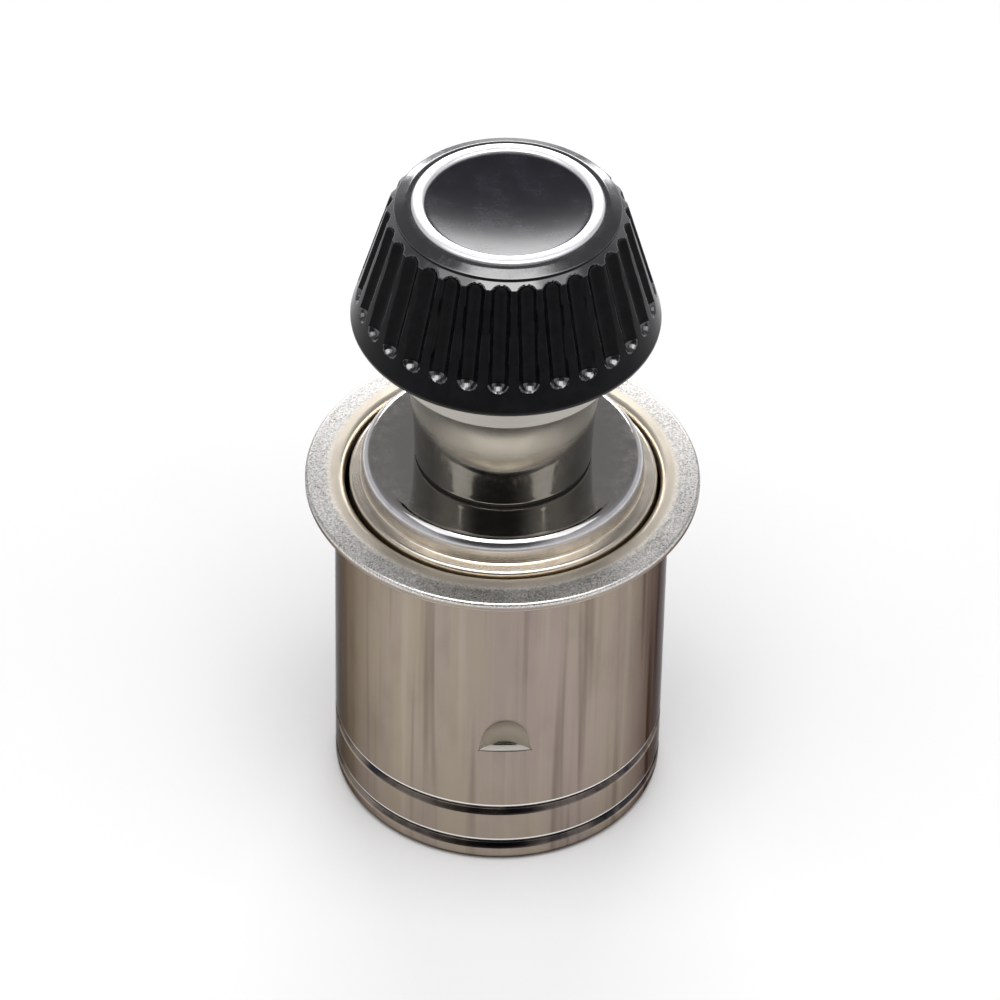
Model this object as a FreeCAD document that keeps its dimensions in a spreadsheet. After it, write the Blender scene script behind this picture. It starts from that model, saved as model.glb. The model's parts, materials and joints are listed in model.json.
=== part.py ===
"""Car cigarette lighter: a sprung plunger with a fluted knob in a flanged guard shell.

The origin is the centre of the shell's foot, +Z runs up through the knob, and -Y is the front.
All sizes are millimetres at rest, with the plunger pushed up against the shell's lances.
"""
import FreeCAD, Part

import os
import re

import PartDesign
import Sketcher

# Driving sizes, grouped by the piece that owns them
SIZES = {
    # Guard shell: drawn tube, flanged mouth, in-turned foot
    "shell_radius": 10.4,
    "shell_wall": 0.6,
    "shell_to_flange": 22.75,
    "shell_foot_round": 0.6,
    "foot_land": 0.45,
    "flange_overhang": 1.85,
    "flange_edge": 0.65,
    "flange_crown": 0.2,
    "flange_edge_round": 0.2,
    "flange_mouth_round": 0.6,
    "flange_neck_round": 0.3,
    # Two rolled grooves near the foot
    "lower_groove_height": 1.42,
    "upper_groove_height": 4.35,
    "groove_width": 0.8,
    "groove_depth": 0.22,
    # Lances: scoops pressed inwards, with a straight lower edge
    "lance_count": 3,
    "lance_turn": 32.8,
    "lance_height": 9.45,
    "lance_rise": 2.7,
    "lance_width": 3.58,
    "lance_depth": 0.9,
    "lance_wall": 0.5,
    # Plunger travel and the guide barrel
    "travel": 6.0,
    "guide_clearance": 0.25,
    "barrel_wall": 0.5,
    "barrel_ledge_rise": 0.05,
    "barrel_ledge_width": 0.8,
    "barrel_cap_rise": 1.65,
    "barrel_cap_round": 0.5,
    "barrel_ledge_round": 0.45,
    "barrel_stop_gap": 0.9,
    "slot_end_gap": 0.15,
    "slot_side_gap": 0.3,
    # Return spring
    "spring_wire": 0.8,
    "spring_side_gap": 0.2,
    "spring_active_turns": 6,
    "spring_closed_pitch": 0.84,
    # Neck: fibre washer and trumpet collar
    "washer_thickness": 0.2,
    "washer_inset": 0.15,
    "collar_radius": 5.6,
    "collar_wall": 0.5,
    "collar_straight": 3.7,
    "collar_flare": 3.7,
    "collar_lip_overhang": 1.3,
    "collar_lip_height": 2.8,
    "collar_lip_round": 0.25,
    # Knob
    "knob_radius": 9.44,
    "knob_skirt": 0.55,
    "knob_skirt_round": 0.5,
    "knob_flank_rise": 7.5,
    "knob_flank_inset": 2.15,
    "knob_shoulder_rise": 0.45,
    "knob_shoulder_inset": 0.45,
    "knob_platform_rise": 0.4,
    "knob_platform_fall": 0.28,
    "knob_platform_slope": 0.7,
    "knob_platform_round": 0.1,
    "knob_shoulder_round": 0.12,
    "knob_boss_length": 5.5,
    "knob_boss_clearance": 0.1,
    "flute_count": 30,
    "flute_turn": 3.6,
    "flute_radius": 0.62,
    "flute_depth": 0.46,
    "flute_foot": 1.2,
    "flute_top_gap": 0.25,
    # Trim ring and dished face disc
    "platform_border": 0.99,
    "ring_width": 0.82,
    "ring_height": 1.3,
    "ring_stand": 0.15,
    "ring_round": 0.2,
    "trim_fit": 0.02,
    "disc_edge_drop": 0.2,
    "disc_dish": 0.55,
    # Stem, lock washer and brass bush
    "stem_radius": 3.2,
    "thread_radius": 2.0,
    "thread_clearance": 0.05,
    "hole_clearance": 0.2,
    "lock_washer_thickness": 0.5,
    "lock_washer_rim": 1.6,
    "lock_washer_gap": 0.5,
    "bush_wall": 1.1,
    "bush_length": 8.0,
    "bush_groove_width": 1.6,
    "bush_groove_depth": 0.4,
    "bush_end_space": 0.8,
    # Heating element
    "cup_gap": 1.0,
    "cup_wall": 0.4,
    "cup_length": 4.6,
    "cup_round": 0.5,
    "cup_stop_gap": 0.4,
    "stud_radius": 1.5,
    "stud_grip": 4.0,
    "stud_flange_radius": 3.0,
    "stud_flange_thickness": 0.6,
    "stud_head_radius": 1.8,
    "stud_head_length": 2.2,
    "mica_thickness": 0.35,
    "mica_radius": 4.2,
    "ceramic_radius": 4.6,
    "ceramic_nose_wall": 0.9,
    "ceramic_thickness": 1.6,
    "spring_washer_thickness": 0.35,
    "spring_washer_dish": 0.3,
    "spring_washer_radius": 3.4,
    "nut_flats": 5.5,
    "nut_height": 2.2,
    "coil_turns": 5,
    "coil_ribbon": 0.3,
    "coil_height": 1.6,
    "coil_recess": 0.5,
    "coil_weld_gap": 0.03,
}

# Levels and radii that several pieces share, written from the driving sizes
SHARED = {
    "shell_bore": "shell_radius - shell_wall",
    "flange_top": "shell_to_flange + flange_edge + flange_crown",
    "barrel_radius": "shell_radius - shell_wall - guide_clearance",
    "ledge_level": "flange_top + barrel_ledge_rise",
    "plate_level": "ledge_level + barrel_cap_rise",
    "skirt_level": "shell_wall + travel + barrel_stop_gap",
    "spring_radius": "barrel_radius - barrel_wall - spring_side_gap - spring_wire / 2",
    "foot_bore": "spring_radius - spring_wire / 2 - foot_land",
    "lance_scoop": "(lance_width ^ 2 / 4 + lance_depth ^ 2) / (2 * lance_depth)",
    "lance_centre": "shell_radius - lance_depth + lance_scoop",
    "collar_level": "plate_level + washer_thickness",
    "flare_level": "collar_level + collar_straight",
    "lip_level": "flare_level + collar_flare",
    "lip_radius": "collar_radius + collar_lip_overhang",
    "knob_level": "lip_level + collar_lip_height",
    "flank_level": "knob_level + knob_skirt",
    "shoulder_level": "flank_level + knob_flank_rise",
    "shoulder_radius": "knob_radius - knob_flank_inset",
    "step_level": "shoulder_level + knob_shoulder_rise",
    "platform_radius": "shoulder_radius - knob_shoulder_inset",
    "platform_level": "step_level + knob_platform_rise",
    "recess_radius": "platform_radius - platform_border",
    "ring_radius": "recess_radius - trim_fit",
    "recess_level": "platform_level + ring_stand - ring_height",
    "boss_level": "knob_level - knob_boss_length",
    "bush_radius": "thread_radius + thread_clearance + bush_wall",
    "bush_top": "boss_level + bush_length",
    "stem_hole": "thread_radius + hole_clearance",
    "stem_shoulder": "plate_level - barrel_wall - lock_washer_thickness",
    "cup_radius": "foot_bore - cup_gap",
    "cup_rim": "travel + cup_stop_gap",
    "cup_top": "cup_rim + cup_length",
    "cup_hole": "stud_radius + thread_clearance + ceramic_nose_wall + thread_clearance",
    "stud_bore": "stud_radius + thread_clearance",
    "mica_level": "cup_top - cup_wall - mica_thickness",
    "ceramic_top": "cup_top + ceramic_thickness",
    "dished_level": "ceramic_top + mica_thickness",
    "nut_level": "dished_level + spring_washer_thickness + spring_washer_dish",
    "stem_foot": "nut_level + nut_height",
    "coil_inner": "stud_head_radius + coil_weld_gap + coil_ribbon / 2",
    "coil_outer": "cup_radius - cup_wall - coil_weld_gap - coil_ribbon / 2",
    "coil_level": "cup_rim + coil_recess",
}

FULL_TURN = 360
QUARTER_TURN = 90

doc = FreeCAD.newDocument("car_lighter")


def make_sheet():
    """Put every driving size in one row of a sheet, with its name as the alias."""
    sheet = doc.addObject("Spreadsheet::Sheet", "sizes")
    for row, (name, value) in enumerate(SIZES.items(), start=1):
        sheet.set(f"A{row}", name)
        sheet.set(f"B{row}", str(value))
        sheet.setAlias(f"B{row}", name)
    doc.recompute()
    return sheet


sizes = make_sheet()


def tied(words):
    """Spell out the shared levels in a formula and point each size at its cell."""
    def spell(match):
        name = match.group(0)
        if name in SHARED:
            return f"({tied(SHARED[name])})"
        return f"sizes.{name}" if name in SIZES else name
    return re.sub(r"[a-z_]+", spell, words)


def size(words):
    """Work out a formula's value in millimetres or degrees."""
    return float(sizes.evalExpression(tied(words)))


def new_body(name):
    """Start one sub-part as a body whose label names its file."""
    body = doc.addObject("PartDesign::Body", name)
    body.Label = name
    return body


def origin_part(body, role):
    """Find one of a body's own origin planes or axes by its role."""
    return next(part for part in body.Origin.OriginFeatures if part.Role == role)


def new_sketch(body, name, plane="XZ_Plane"):
    """Lay an empty sketch on one of the body's origin planes."""
    sketch = body.newObject("Sketcher::SketchObject", name)
    sketch.AttachmentSupport = [(origin_part(body, plane), "")]
    sketch.MapMode = "FlatFace"
    return sketch


def bind(sketch, constraint, words):
    """Add a dimension to a sketch and tie it to the sheet."""
    index = sketch.addConstraint(constraint)
    sketch.setExpression(f"Constraints[{index}]", tied(words))


def place_point(sketch, geometry, end, across, up):
    """Fix one end of a line or arc at its two distances from the sketch's origin."""
    for kind, axis, words in (("DistanceX", -2, across), ("DistanceY", -1, up)):
        value = size(words)
        if value == 0:
            sketch.addConstraint(Sketcher.Constraint("PointOnObject", geometry, end, axis))
        else:
            bind(sketch, Sketcher.Constraint(kind, -1, 1, geometry, end, value), words)


def draw_outline(sketch, corners, arcs=None):
    """Draw a closed outline through corners given as two formulas each.

    arcs maps the number of a side to how it bends: "before" makes it leave the side before it
    smoothly, and "after" makes it run smoothly into the side after it. The number beside that
    word is how far its middle first bulges to the right of its chord.
    """
    arcs = arcs or {}
    points = [FreeCAD.Vector(size(across), size(up), 0) for across, up in corners]
    total = len(points)
    ends = []
    for side, start in enumerate(points):
        stop = points[(side + 1) % total]
        if side in arcs:
            chord = stop - start
            middle = (start + stop) * 0.5 + FreeCAD.Vector(chord.y, -chord.x, 0) * arcs[side][1]
            forward = (middle - start).cross(stop - middle).z > 0
            first, last = (start, stop) if forward else (stop, start)
            sketch.addGeometry(Part.Arc(first, middle, last), False)
            ends.append((1, 2) if forward else (2, 1))
        else:
            sketch.addGeometry(Part.LineSegment(start, stop), False)
            ends.append((1, 2))
    for side in range(total):
        after = (side + 1) % total
        joined = (side, ends[side][1], after, ends[after][0])
        sketch.addConstraint(Sketcher.Constraint("Coincident", *joined))
    for side, (across, up) in enumerate(corners):
        place_point(sketch, side, ends[side][0], across, up)
    for side, (kind, _) in arcs.items():
        other = (side - 1) % total if kind == "before" else (side + 1) % total
        sketch.addConstraint(Sketcher.Constraint("Tangent", side, other))


def draw_strip(sketch, low, high, width):
    """Draw an upright rectangle, centred on the sketch's vertical axis."""
    half = size(width) / 2
    bottom = size(low)
    top = size(high)
    corners = [(-half, bottom), (half, bottom), (half, top), (-half, top)]
    points = [FreeCAD.Vector(across, up, 0) for across, up in corners]
    for side in range(4):
        sketch.addGeometry(Part.LineSegment(points[side], points[(side + 1) % 4]), False)
    for side in range(4):
        sketch.addConstraint(Sketcher.Constraint("Coincident", side, 2, (side + 1) % 4, 1))
    for upright in (1, 3):
        sketch.addConstraint(Sketcher.Constraint("Vertical", upright))
    sketch.addConstraint(Sketcher.Constraint("Horizontal", 2))
    sketch.addConstraint(Sketcher.Constraint("Symmetric", 0, 1, 0, 2, -2))
    bind(sketch, Sketcher.Constraint("DistanceX", 0, 1, 0, 2, 2 * half), width)
    bind(sketch, Sketcher.Constraint("DistanceY", -1, 1, 0, 1, bottom), low)
    bind(sketch, Sketcher.Constraint("DistanceY", -1, 1, 1, 2, top), high)


def turn(body, name, corners, arcs=None):
    """Revolve an outline of radius and height pairs about the Z axis."""
    sketch = new_sketch(body, f"{name}_section")
    draw_outline(sketch, corners, arcs)
    turned = body.newObject("PartDesign::Revolution", name)
    turned.Profile = sketch
    turned.ReferenceAxis = (sketch, ["V_Axis"])
    turned.Angle = FULL_TURN
    doc.recompute()
    return turned


def groove(body, name, corners, arcs=None):
    """Turn an outline of radius and height pairs out of the body."""
    sketch = new_sketch(body, f"{name}_section")
    draw_outline(sketch, corners, arcs)
    return cut_round(body, name, sketch)


def cut_round(body, name, sketch):
    """Revolve a sketch about its own vertical axis and take it out of the body."""
    before = body.Shape.Volume
    cut = body.newObject("PartDesign::Groove", name)
    cut.Profile = sketch
    cut.ReferenceAxis = (sketch, ["V_Axis"])
    cut.Angle = FULL_TURN
    doc.recompute()
    if body.Shape.Volume >= before:
        raise RuntimeError(f"{name} cuts nothing")
    return cut


def round_edges(body, name, rings, radius):
    """Fillet the circular edges at the given radius and height pairs."""
    doc.recompute()
    wanted = [(size(across), size(up)) for across, up in rings]
    names = []
    for number, edge in enumerate(body.Shape.Edges, start=1):
        if not isinstance(edge.Curve, Part.Circle):
            continue
        place = (edge.Curve.Radius, edge.Curve.Center.z)
        if any(abs(place[0] - r) < 1e-4 and abs(place[1] - z) < 1e-4 for r, z in wanted):
            names.append(f"Edge{number}")
    if len(names) < len(wanted):
        raise RuntimeError(f"{name} found {len(names)} of {len(wanted)} edges")
    fillet = body.newObject("PartDesign::Fillet", name)
    fillet.Base = (body.Tip if body.Tip != fillet else fillet.BaseFeature, names)
    fillet.setExpression("Radius", tied(radius))
    doc.recompute()
    return fillet


def repeat_round(body, name, feature, count):
    """Repeat one feature about the Z axis and make the pattern the body's result."""
    pattern = body.newObject("PartDesign::PolarPattern", name)
    pattern.Originals = [feature]
    pattern.Axis = (origin_part(body, "Z_Axis"), [""])
    pattern.Angle = FULL_TURN
    pattern.setExpression("Occurrences", tied(count))
    body.Tip = pattern
    doc.recompute()
    return pattern


def turn_about_axis(body, angle):
    """Turn a finished body about the Z axis by a size given in degrees."""
    body.Placement = FreeCAD.Placement(FreeCAD.Vector(), FreeCAD.Vector(0, 0, 1), size(angle))
    body.setExpression("Placement.Rotation.Angle", tied(angle))


def scoop_sketch(body, name, radius):
    """Draw one lance's round section on the level of its straight lower edge."""
    sketch = new_sketch(body, name, "XY_Plane")
    sketch.setExpression("AttachmentOffset.Base.z", tied("lance_height"))
    centre = FreeCAD.Vector(size("lance_centre"), 0, 0)
    circle = Part.Circle(centre, FreeCAD.Vector(0, 0, 1), size(radius))
    number = sketch.addGeometry(circle, False)
    sketch.addConstraint(Sketcher.Constraint("PointOnObject", number, 3, -1))
    reach = Sketcher.Constraint("DistanceX", -1, 1, number, 3, centre.x)
    bind(sketch, reach, "lance_centre")
    bind(sketch, Sketcher.Constraint("Radius", number, size(radius)), radius)
    return sketch


def lean_outwards(feature):
    """Run a lance feature upwards and outwards, so that it dies away in the wall."""
    feature.UseCustomVector = True
    feature.Direction = FreeCAD.Vector(size("lance_depth"), 0, size("lance_rise"))
    feature.setExpression("Direction.x", tied("lance_depth"))
    feature.setExpression("Direction.z", tied("lance_rise"))
    feature.AlongSketchNormal = True


def make_guard_shell():
    """Drawn tube with a flanged mouth, an in-turned foot, two grooves and pressed lances."""
    body = new_body("guard_shell")
    flange_radius = "shell_radius + flange_overhang"
    edge_top = "shell_to_flange + flange_edge"
    turn(body, "shell_tube", [
        ("foot_bore", "0"),
        ("shell_radius", "0"),
        ("shell_radius", "shell_to_flange"),
        (flange_radius, "shell_to_flange"),
        (flange_radius, edge_top),
        ("shell_bore", "flange_top"),
        ("shell_bore", "shell_wall"),
        ("foot_bore", "shell_wall"),
    ])
    round_edges(body, "foot_round", [("shell_radius", "0")], "shell_foot_round")
    round_edges(body, "mouth_round", [("shell_bore", "flange_top")], "flange_mouth_round")
    round_edges(body, "neck_round", [("shell_radius", "shell_to_flange")], "flange_neck_round")
    rim = [(flange_radius, "shell_to_flange"), (flange_radius, edge_top)]
    round_edges(body, "rim_round", rim, "flange_edge_round")
    for name in ("lower_groove", "upper_groove"):
        middle = f"{name}_height"
        lip = "shell_radius + groove_depth"
        groove(body, name, [
            (lip, f"{middle} - groove_width"),
            (lip, f"{middle} + groove_width"),
            ("shell_radius - groove_depth", middle),
        ])
    swell = body.newObject("PartDesign::Pad", "lance_swell")
    swell.Profile = scoop_sketch(body, "lance_swell_section", "lance_scoop + lance_wall")
    lean_outwards(swell)
    swell.setExpression("Length", tied("lance_rise"))
    doc.recompute()
    repeat_round(body, "lance_swells", swell, "lance_count")
    far = "shell_radius + 3 * lance_scoop + 2 * lance_depth"
    groove(body, "lance_trim", [
        ("shell_radius", "lance_height - lance_wall"),
        (far, "lance_height - lance_wall"),
        (far, "lance_height + lance_rise + lance_wall"),
        ("shell_radius", "lance_height + lance_rise + lance_wall"),
    ])
    before = body.Shape.Volume
    scoop = body.newObject("PartDesign::Pocket", "lance_scoop")
    scoop.Profile = scoop_sketch(body, "lance_scoop_section", "lance_scoop")
    lean_outwards(scoop)
    scoop.setExpression("Length", tied("lance_rise + lance_wall"))
    doc.recompute()
    repeat_round(body, "lance_scoops", scoop, "lance_count")
    if body.Shape.Volume >= before:
        raise RuntimeError("lance_scoops cut nothing")
    turn_about_axis(body, "lance_turn")
    return body


def make_guide_barrel():
    """Stepped cup that slides in the shell, with one slot for each lance."""
    body = new_body("guide_barrel")
    cap_radius = "barrel_radius - barrel_ledge_width"
    turn(body, "barrel_cup", [
        ("stem_hole", "plate_level"),
        ("stem_hole", "plate_level - barrel_wall"),
        (f"{cap_radius} - barrel_wall", "plate_level - barrel_wall"),
        (f"{cap_radius} - barrel_wall", "ledge_level - barrel_wall"),
        ("barrel_radius - barrel_wall", "ledge_level - barrel_wall"),
        ("barrel_radius - barrel_wall", "skirt_level"),
        ("barrel_radius", "skirt_level"),
        ("barrel_radius", "ledge_level"),
        (cap_radius, "ledge_level"),
        (cap_radius, "plate_level"),
    ])
    round_edges(body, "cap_round", [(cap_radius, "plate_level")], "barrel_cap_round")
    round_edges(body, "ledge_round", [("barrel_radius", "ledge_level")], "barrel_ledge_round")
    sketch = new_sketch(body, "slot_outline", "YZ_Plane")
    low = "lance_height - slot_end_gap"
    high = "lance_height + lance_rise + travel + slot_end_gap"
    draw_strip(sketch, low, high, "lance_width + 2 * slot_side_gap")
    before = body.Shape.Volume
    slot = body.newObject("PartDesign::Pocket", "lance_slot")
    slot.Profile = sketch
    slot.Reversed = True
    slot.setExpression("Length", tied("shell_radius"))
    doc.recompute()
    repeat_round(body, "lance_slots", slot, "lance_count")
    if body.Shape.Volume >= before:
        raise RuntimeError("lance_slots cut nothing")
    turn_about_axis(body, "lance_turn")
    return body


def make_return_spring():
    """Compression spring with closed, ground ends, from the shell's foot to the barrel's ledge."""
    wire = new_body("spring_wire_turns")
    foot = "shell_wall"
    crown = "(ledge_level - barrel_wall)"
    start = f"{foot} + spring_wire / 4"
    open_start = f"{start} + spring_closed_pitch"
    open_stop = f"({crown} - spring_wire / 4 - spring_closed_pitch)"
    open_pitch = f"({open_stop} - ({open_start})) / spring_active_turns"
    runs = {
        "lower_end": (start, "spring_closed_pitch", "1"),
        "open_part": (open_start, open_pitch, "spring_active_turns"),
        "upper_end": (open_stop, "spring_closed_pitch", "1"),
    }
    for name, (level, pitch, turns) in runs.items():
        sketch = new_sketch(wire, f"{name}_wire")
        centre = FreeCAD.Vector(size("spring_radius"), size(level), 0)
        circle = Part.Circle(centre, FreeCAD.Vector(0, 0, 1), size("spring_wire / 2"))
        number = sketch.addGeometry(circle, False)
        place_point(sketch, number, 3, "spring_radius", level)
        thickness = Sketcher.Constraint("Diameter", number, size("spring_wire"))
        bind(sketch, thickness, "spring_wire")
        helix = wire.newObject("PartDesign::AdditiveHelix", f"{name}_turns")
        helix.Profile = sketch
        helix.ReferenceAxis = (sketch, ["V_Axis"])
        helix.Mode = "pitch-turns-angle"
        helix.setExpression("Pitch", tied(pitch))
        helix.setExpression("Turns", tied(turns))
        doc.recompute()
    span = doc.addObject("Part::Cylinder", "spring_ground_span")
    span.setExpression("Radius", tied("spring_radius + 2 * spring_wire"))
    span.setExpression("Height", tied(f"{crown} - {foot}"))
    span.setExpression("Placement.Base.z", tied(foot))
    spring = doc.addObject("Part::Common", "return_spring")
    spring.Label = "return_spring"
    spring.Base = wire
    spring.Tool = span
    return spring


def make_turned_washers():
    """Plain turned washers and bushes round the stem and the element stud."""
    flat_rings = {
        "neck_washer": ("stem_hole", "collar_radius - washer_inset", "plate_level", "collar_level"),
        "inner_mica_washer": ("stud_bore", "mica_radius", "mica_level", "cup_top - cup_wall"),
        "outer_mica_washer": ("stud_bore", "mica_radius", "ceramic_top", "dished_level"),
    }
    bodies = []
    for name, (bore, rim, low, high) in flat_rings.items():
        body = new_body(name)
        turn(body, f"{name}_ring", [(bore, low), (rim, low), (rim, high), (bore, high)])
        bodies.append(body)
    return bodies


def make_spring_washer():
    """Dished washer: a flat ring's section leaning up towards the bore."""
    body = new_body("spring_washer")
    lean = "spring_washer_dish"
    turn(body, "dished_ring", [
        ("spring_washer_radius", "dished_level"),
        ("spring_washer_radius", "dished_level + spring_washer_thickness"),
        ("stud_bore", f"dished_level + spring_washer_thickness + {lean}"),
        ("stud_bore", f"dished_level + {lean}"),
    ])
    return body


def make_neck_collar():
    """Drawn collar: flat base, straight neck, trumpet flare and an upright lip under the knob."""
    body = new_body("neck_collar")
    inner_neck = "collar_radius - collar_wall"
    inner_lip = "lip_radius - collar_wall"
    turn(body, "collar_tube", [
        ("stem_hole", "collar_level"),
        ("collar_radius", "collar_level"),
        ("collar_radius", "flare_level"),
        ("lip_radius", "lip_level"),
        ("lip_radius", "knob_level"),
        (inner_lip, "knob_level"),
        (inner_lip, "lip_level"),
        (inner_neck, "flare_level"),
        (inner_neck, "collar_level + collar_wall"),
        ("stem_hole", "collar_level + collar_wall"),
    ], {2: ("before", -0.1), 6: ("after", 0.1)})
    round_edges(body, "lip_round", [("lip_radius", "lip_level")], "collar_lip_round")
    return body


def make_knob():
    """Moulded knob: tapered flank with round flutes, shoulder, platform, recess and hollow boss."""
    body = new_body("knob")
    bush_hole = "bush_radius + trim_fit"
    turn(body, "knob_blank", [
        (bush_hole, "boss_level"),
        ("collar_radius - collar_wall - knob_boss_clearance", "boss_level"),
        ("collar_radius - collar_wall - knob_boss_clearance", "knob_level"),
        ("knob_radius", "knob_level"),
        ("knob_radius", "flank_level"),
        ("shoulder_radius", "shoulder_level"),
        ("platform_radius", "step_level"),
        ("platform_radius", "platform_level - knob_platform_fall"),
        ("platform_radius - knob_platform_slope", "platform_level"),
        ("recess_radius", "platform_level"),
        ("recess_radius", "recess_level"),
        ("0", "recess_level"),
        ("0", "bush_top + bush_end_space"),
        (bush_hole, "bush_top + bush_end_space"),
    ])
    round_edges(body, "skirt_round", [("knob_radius", "knob_level")], "knob_skirt_round")
    edge = [("platform_radius", "platform_level - knob_platform_fall")]
    round_edges(body, "platform_round", edge, "knob_platform_round")
    corner = [("shoulder_radius", "shoulder_level")]
    round_edges(body, "shoulder_round", corner, "knob_shoulder_round")
    lean = "atan(knob_flank_inset / knob_flank_rise)"
    proud = "flute_radius - flute_depth"
    along = "flute_foot + flute_radius"
    sketch = new_sketch(body, "flute_section")
    sketch.setExpression("AttachmentOffset.Rotation.Angle", tied(lean))
    across = f"knob_radius + ({proud}) * cos({lean}) - ({along}) * sin({lean})"
    up = f"flank_level + ({proud}) * sin({lean}) + ({along}) * cos({lean})"
    sketch.setExpression("AttachmentOffset.Base.x", tied(across))
    sketch.setExpression("AttachmentOffset.Base.y", tied(up))
    doc.recompute()
    foot = FreeCAD.Vector(0, -size("flute_radius"), 0)
    side = FreeCAD.Vector(size("flute_radius"), 0, 0)
    flank = "sqrt(knob_flank_rise ^ 2 + knob_flank_inset ^ 2)"
    reach = f"{flank} - ({along}) - flute_top_gap"
    centre = FreeCAD.Vector(0, size(reach), 0)
    middle = (foot + side).normalize() * size("flute_radius")
    upper_middle = (side - foot).normalize() * size("flute_radius")
    ball = sketch.addGeometry(Part.Arc(foot, middle, side), False)
    wall = sketch.addGeometry(Part.LineSegment(side, centre + side), False)
    crown_arc = Part.Arc(centre + side, centre + upper_middle, centre - foot)
    crown = sketch.addGeometry(crown_arc, False)
    core = sketch.addGeometry(Part.LineSegment(centre - foot, foot), False)
    joints = ((ball, 2, wall, 1), (wall, 2, crown, 1), (crown, 2, core, 1), (core, 2, ball, 1))
    for joint in joints:
        sketch.addConstraint(Sketcher.Constraint("Coincident", *joint))
    sketch.addConstraint(Sketcher.Constraint("Coincident", ball, 3, -1, 1))
    sketch.addConstraint(Sketcher.Constraint("PointOnObject", core, 1, -2))
    sketch.addConstraint(Sketcher.Constraint("PointOnObject", core, 2, -2))
    sketch.addConstraint(Sketcher.Constraint("PointOnObject", ball, 2, -1))
    sketch.addConstraint(Sketcher.Constraint("PointOnObject", crown, 3, -2))
    sketch.addConstraint(Sketcher.Constraint("Horizontal", crown, 3, crown, 1))
    sketch.addConstraint(Sketcher.Constraint("Equal", ball, crown))
    bind(sketch, Sketcher.Constraint("Radius", ball, side.x), "flute_radius")
    bind(sketch, Sketcher.Constraint("DistanceY", -1, 1, crown, 3, centre.y), reach)
    flute = cut_round(body, "flute", sketch)
    repeat_round(body, "flutes", flute, "flute_count")
    turn_about_axis(body, "flute_turn")
    return body


def make_knob_trim():
    """Bright ring and dished disc that sit side by side on the floor of the knob's recess."""
    ring = new_body("knob_trim_ring")
    ring_bore = "ring_radius - ring_width"
    ring_top = "recess_level + ring_height"
    turn(ring, "ring_band", [
        (ring_bore, "recess_level"),
        ("ring_radius", "recess_level"),
        ("ring_radius", ring_top),
        (ring_bore, ring_top),
    ])
    tops = [(ring_bore, ring_top), ("ring_radius", ring_top)]
    round_edges(ring, "ring_round", tops, "ring_round")
    disc_edge = f"{ring_top} - disc_edge_drop"
    disc_radius = f"({ring_bore} - trim_fit)"
    ball_radius = f"({disc_radius} ^ 2 + disc_dish ^ 2) / (2 * disc_dish)"
    blank = doc.addObject("Part::Cylinder", "disc_blank")
    blank.setExpression("Radius", tied(disc_radius))
    blank.setExpression("Height", tied(f"{disc_edge} - recess_level"))
    blank.setExpression("Placement.Base.z", tied("recess_level"))
    ball = doc.addObject("Part::Sphere", "disc_dish_ball")
    ball.setExpression("Radius", tied(ball_radius))
    ball.setExpression("Placement.Base.z", tied(f"{disc_edge} - disc_dish + {ball_radius}"))
    disc = doc.addObject("Part::Cut", "knob_face_disc")
    disc.Label = "knob_face_disc"
    disc.Base = blank
    disc.Tool = ball
    return [ring, disc]


def make_stem_group():
    """Stem, its split lock washer and the brass bush that it screws into."""
    stem = new_body("stem")
    stem_top = "bush_top - bush_end_space"
    turn(stem, "stem_bar", [
        ("stud_bore", "stem_foot"),
        ("stem_radius", "stem_foot"),
        ("stem_radius", "stem_shoulder"),
        ("thread_radius", "stem_shoulder"),
        ("thread_radius", stem_top),
        ("0", stem_top),
        ("0", "stem_foot + stud_grip + bush_end_space"),
        ("stud_bore", "stem_foot + stud_grip + bush_end_space"),
    ])
    washer = new_body("stem_lock_washer")
    rim = "stem_hole + lock_washer_rim"
    top = "stem_shoulder + lock_washer_thickness"
    turn(washer, "lock_ring", [
        ("stem_hole", "stem_shoulder"),
        (rim, "stem_shoulder"),
        (rim, top),
        ("stem_hole", top),
    ])
    slit_outline = new_sketch(washer, "lock_slit_outline", "XY_Plane")
    slit_outline.setExpression("AttachmentOffset.Base.z", tied(top))
    draw_strip(slit_outline, "thread_radius", f"{rim} + lock_washer_gap", "lock_washer_gap")
    before = washer.Shape.Volume
    slit = washer.newObject("PartDesign::Pocket", "lock_slit")
    slit.Profile = slit_outline
    slit.setExpression("Length", tied("lock_washer_thickness"))
    doc.recompute()
    if washer.Shape.Volume >= before:
        raise RuntimeError("lock_slit cuts nothing")
    bush = new_body("knob_bush")
    bush_bore = "thread_radius + thread_clearance"
    waist = "boss_level + bush_length / 2"
    turn(bush, "bush_barrel", [
        (bush_bore, "boss_level"),
        ("bush_radius", "boss_level"),
        ("bush_radius", f"{waist} - bush_groove_width / 2"),
        ("bush_radius - bush_groove_depth", f"{waist} - bush_groove_width / 2"),
        ("bush_radius - bush_groove_depth", f"{waist} + bush_groove_width / 2"),
        ("bush_radius", f"{waist} + bush_groove_width / 2"),
        ("bush_radius", "bush_top"),
        (bush_bore, "bush_top"),
    ])
    return [stem, washer, bush]


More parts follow.
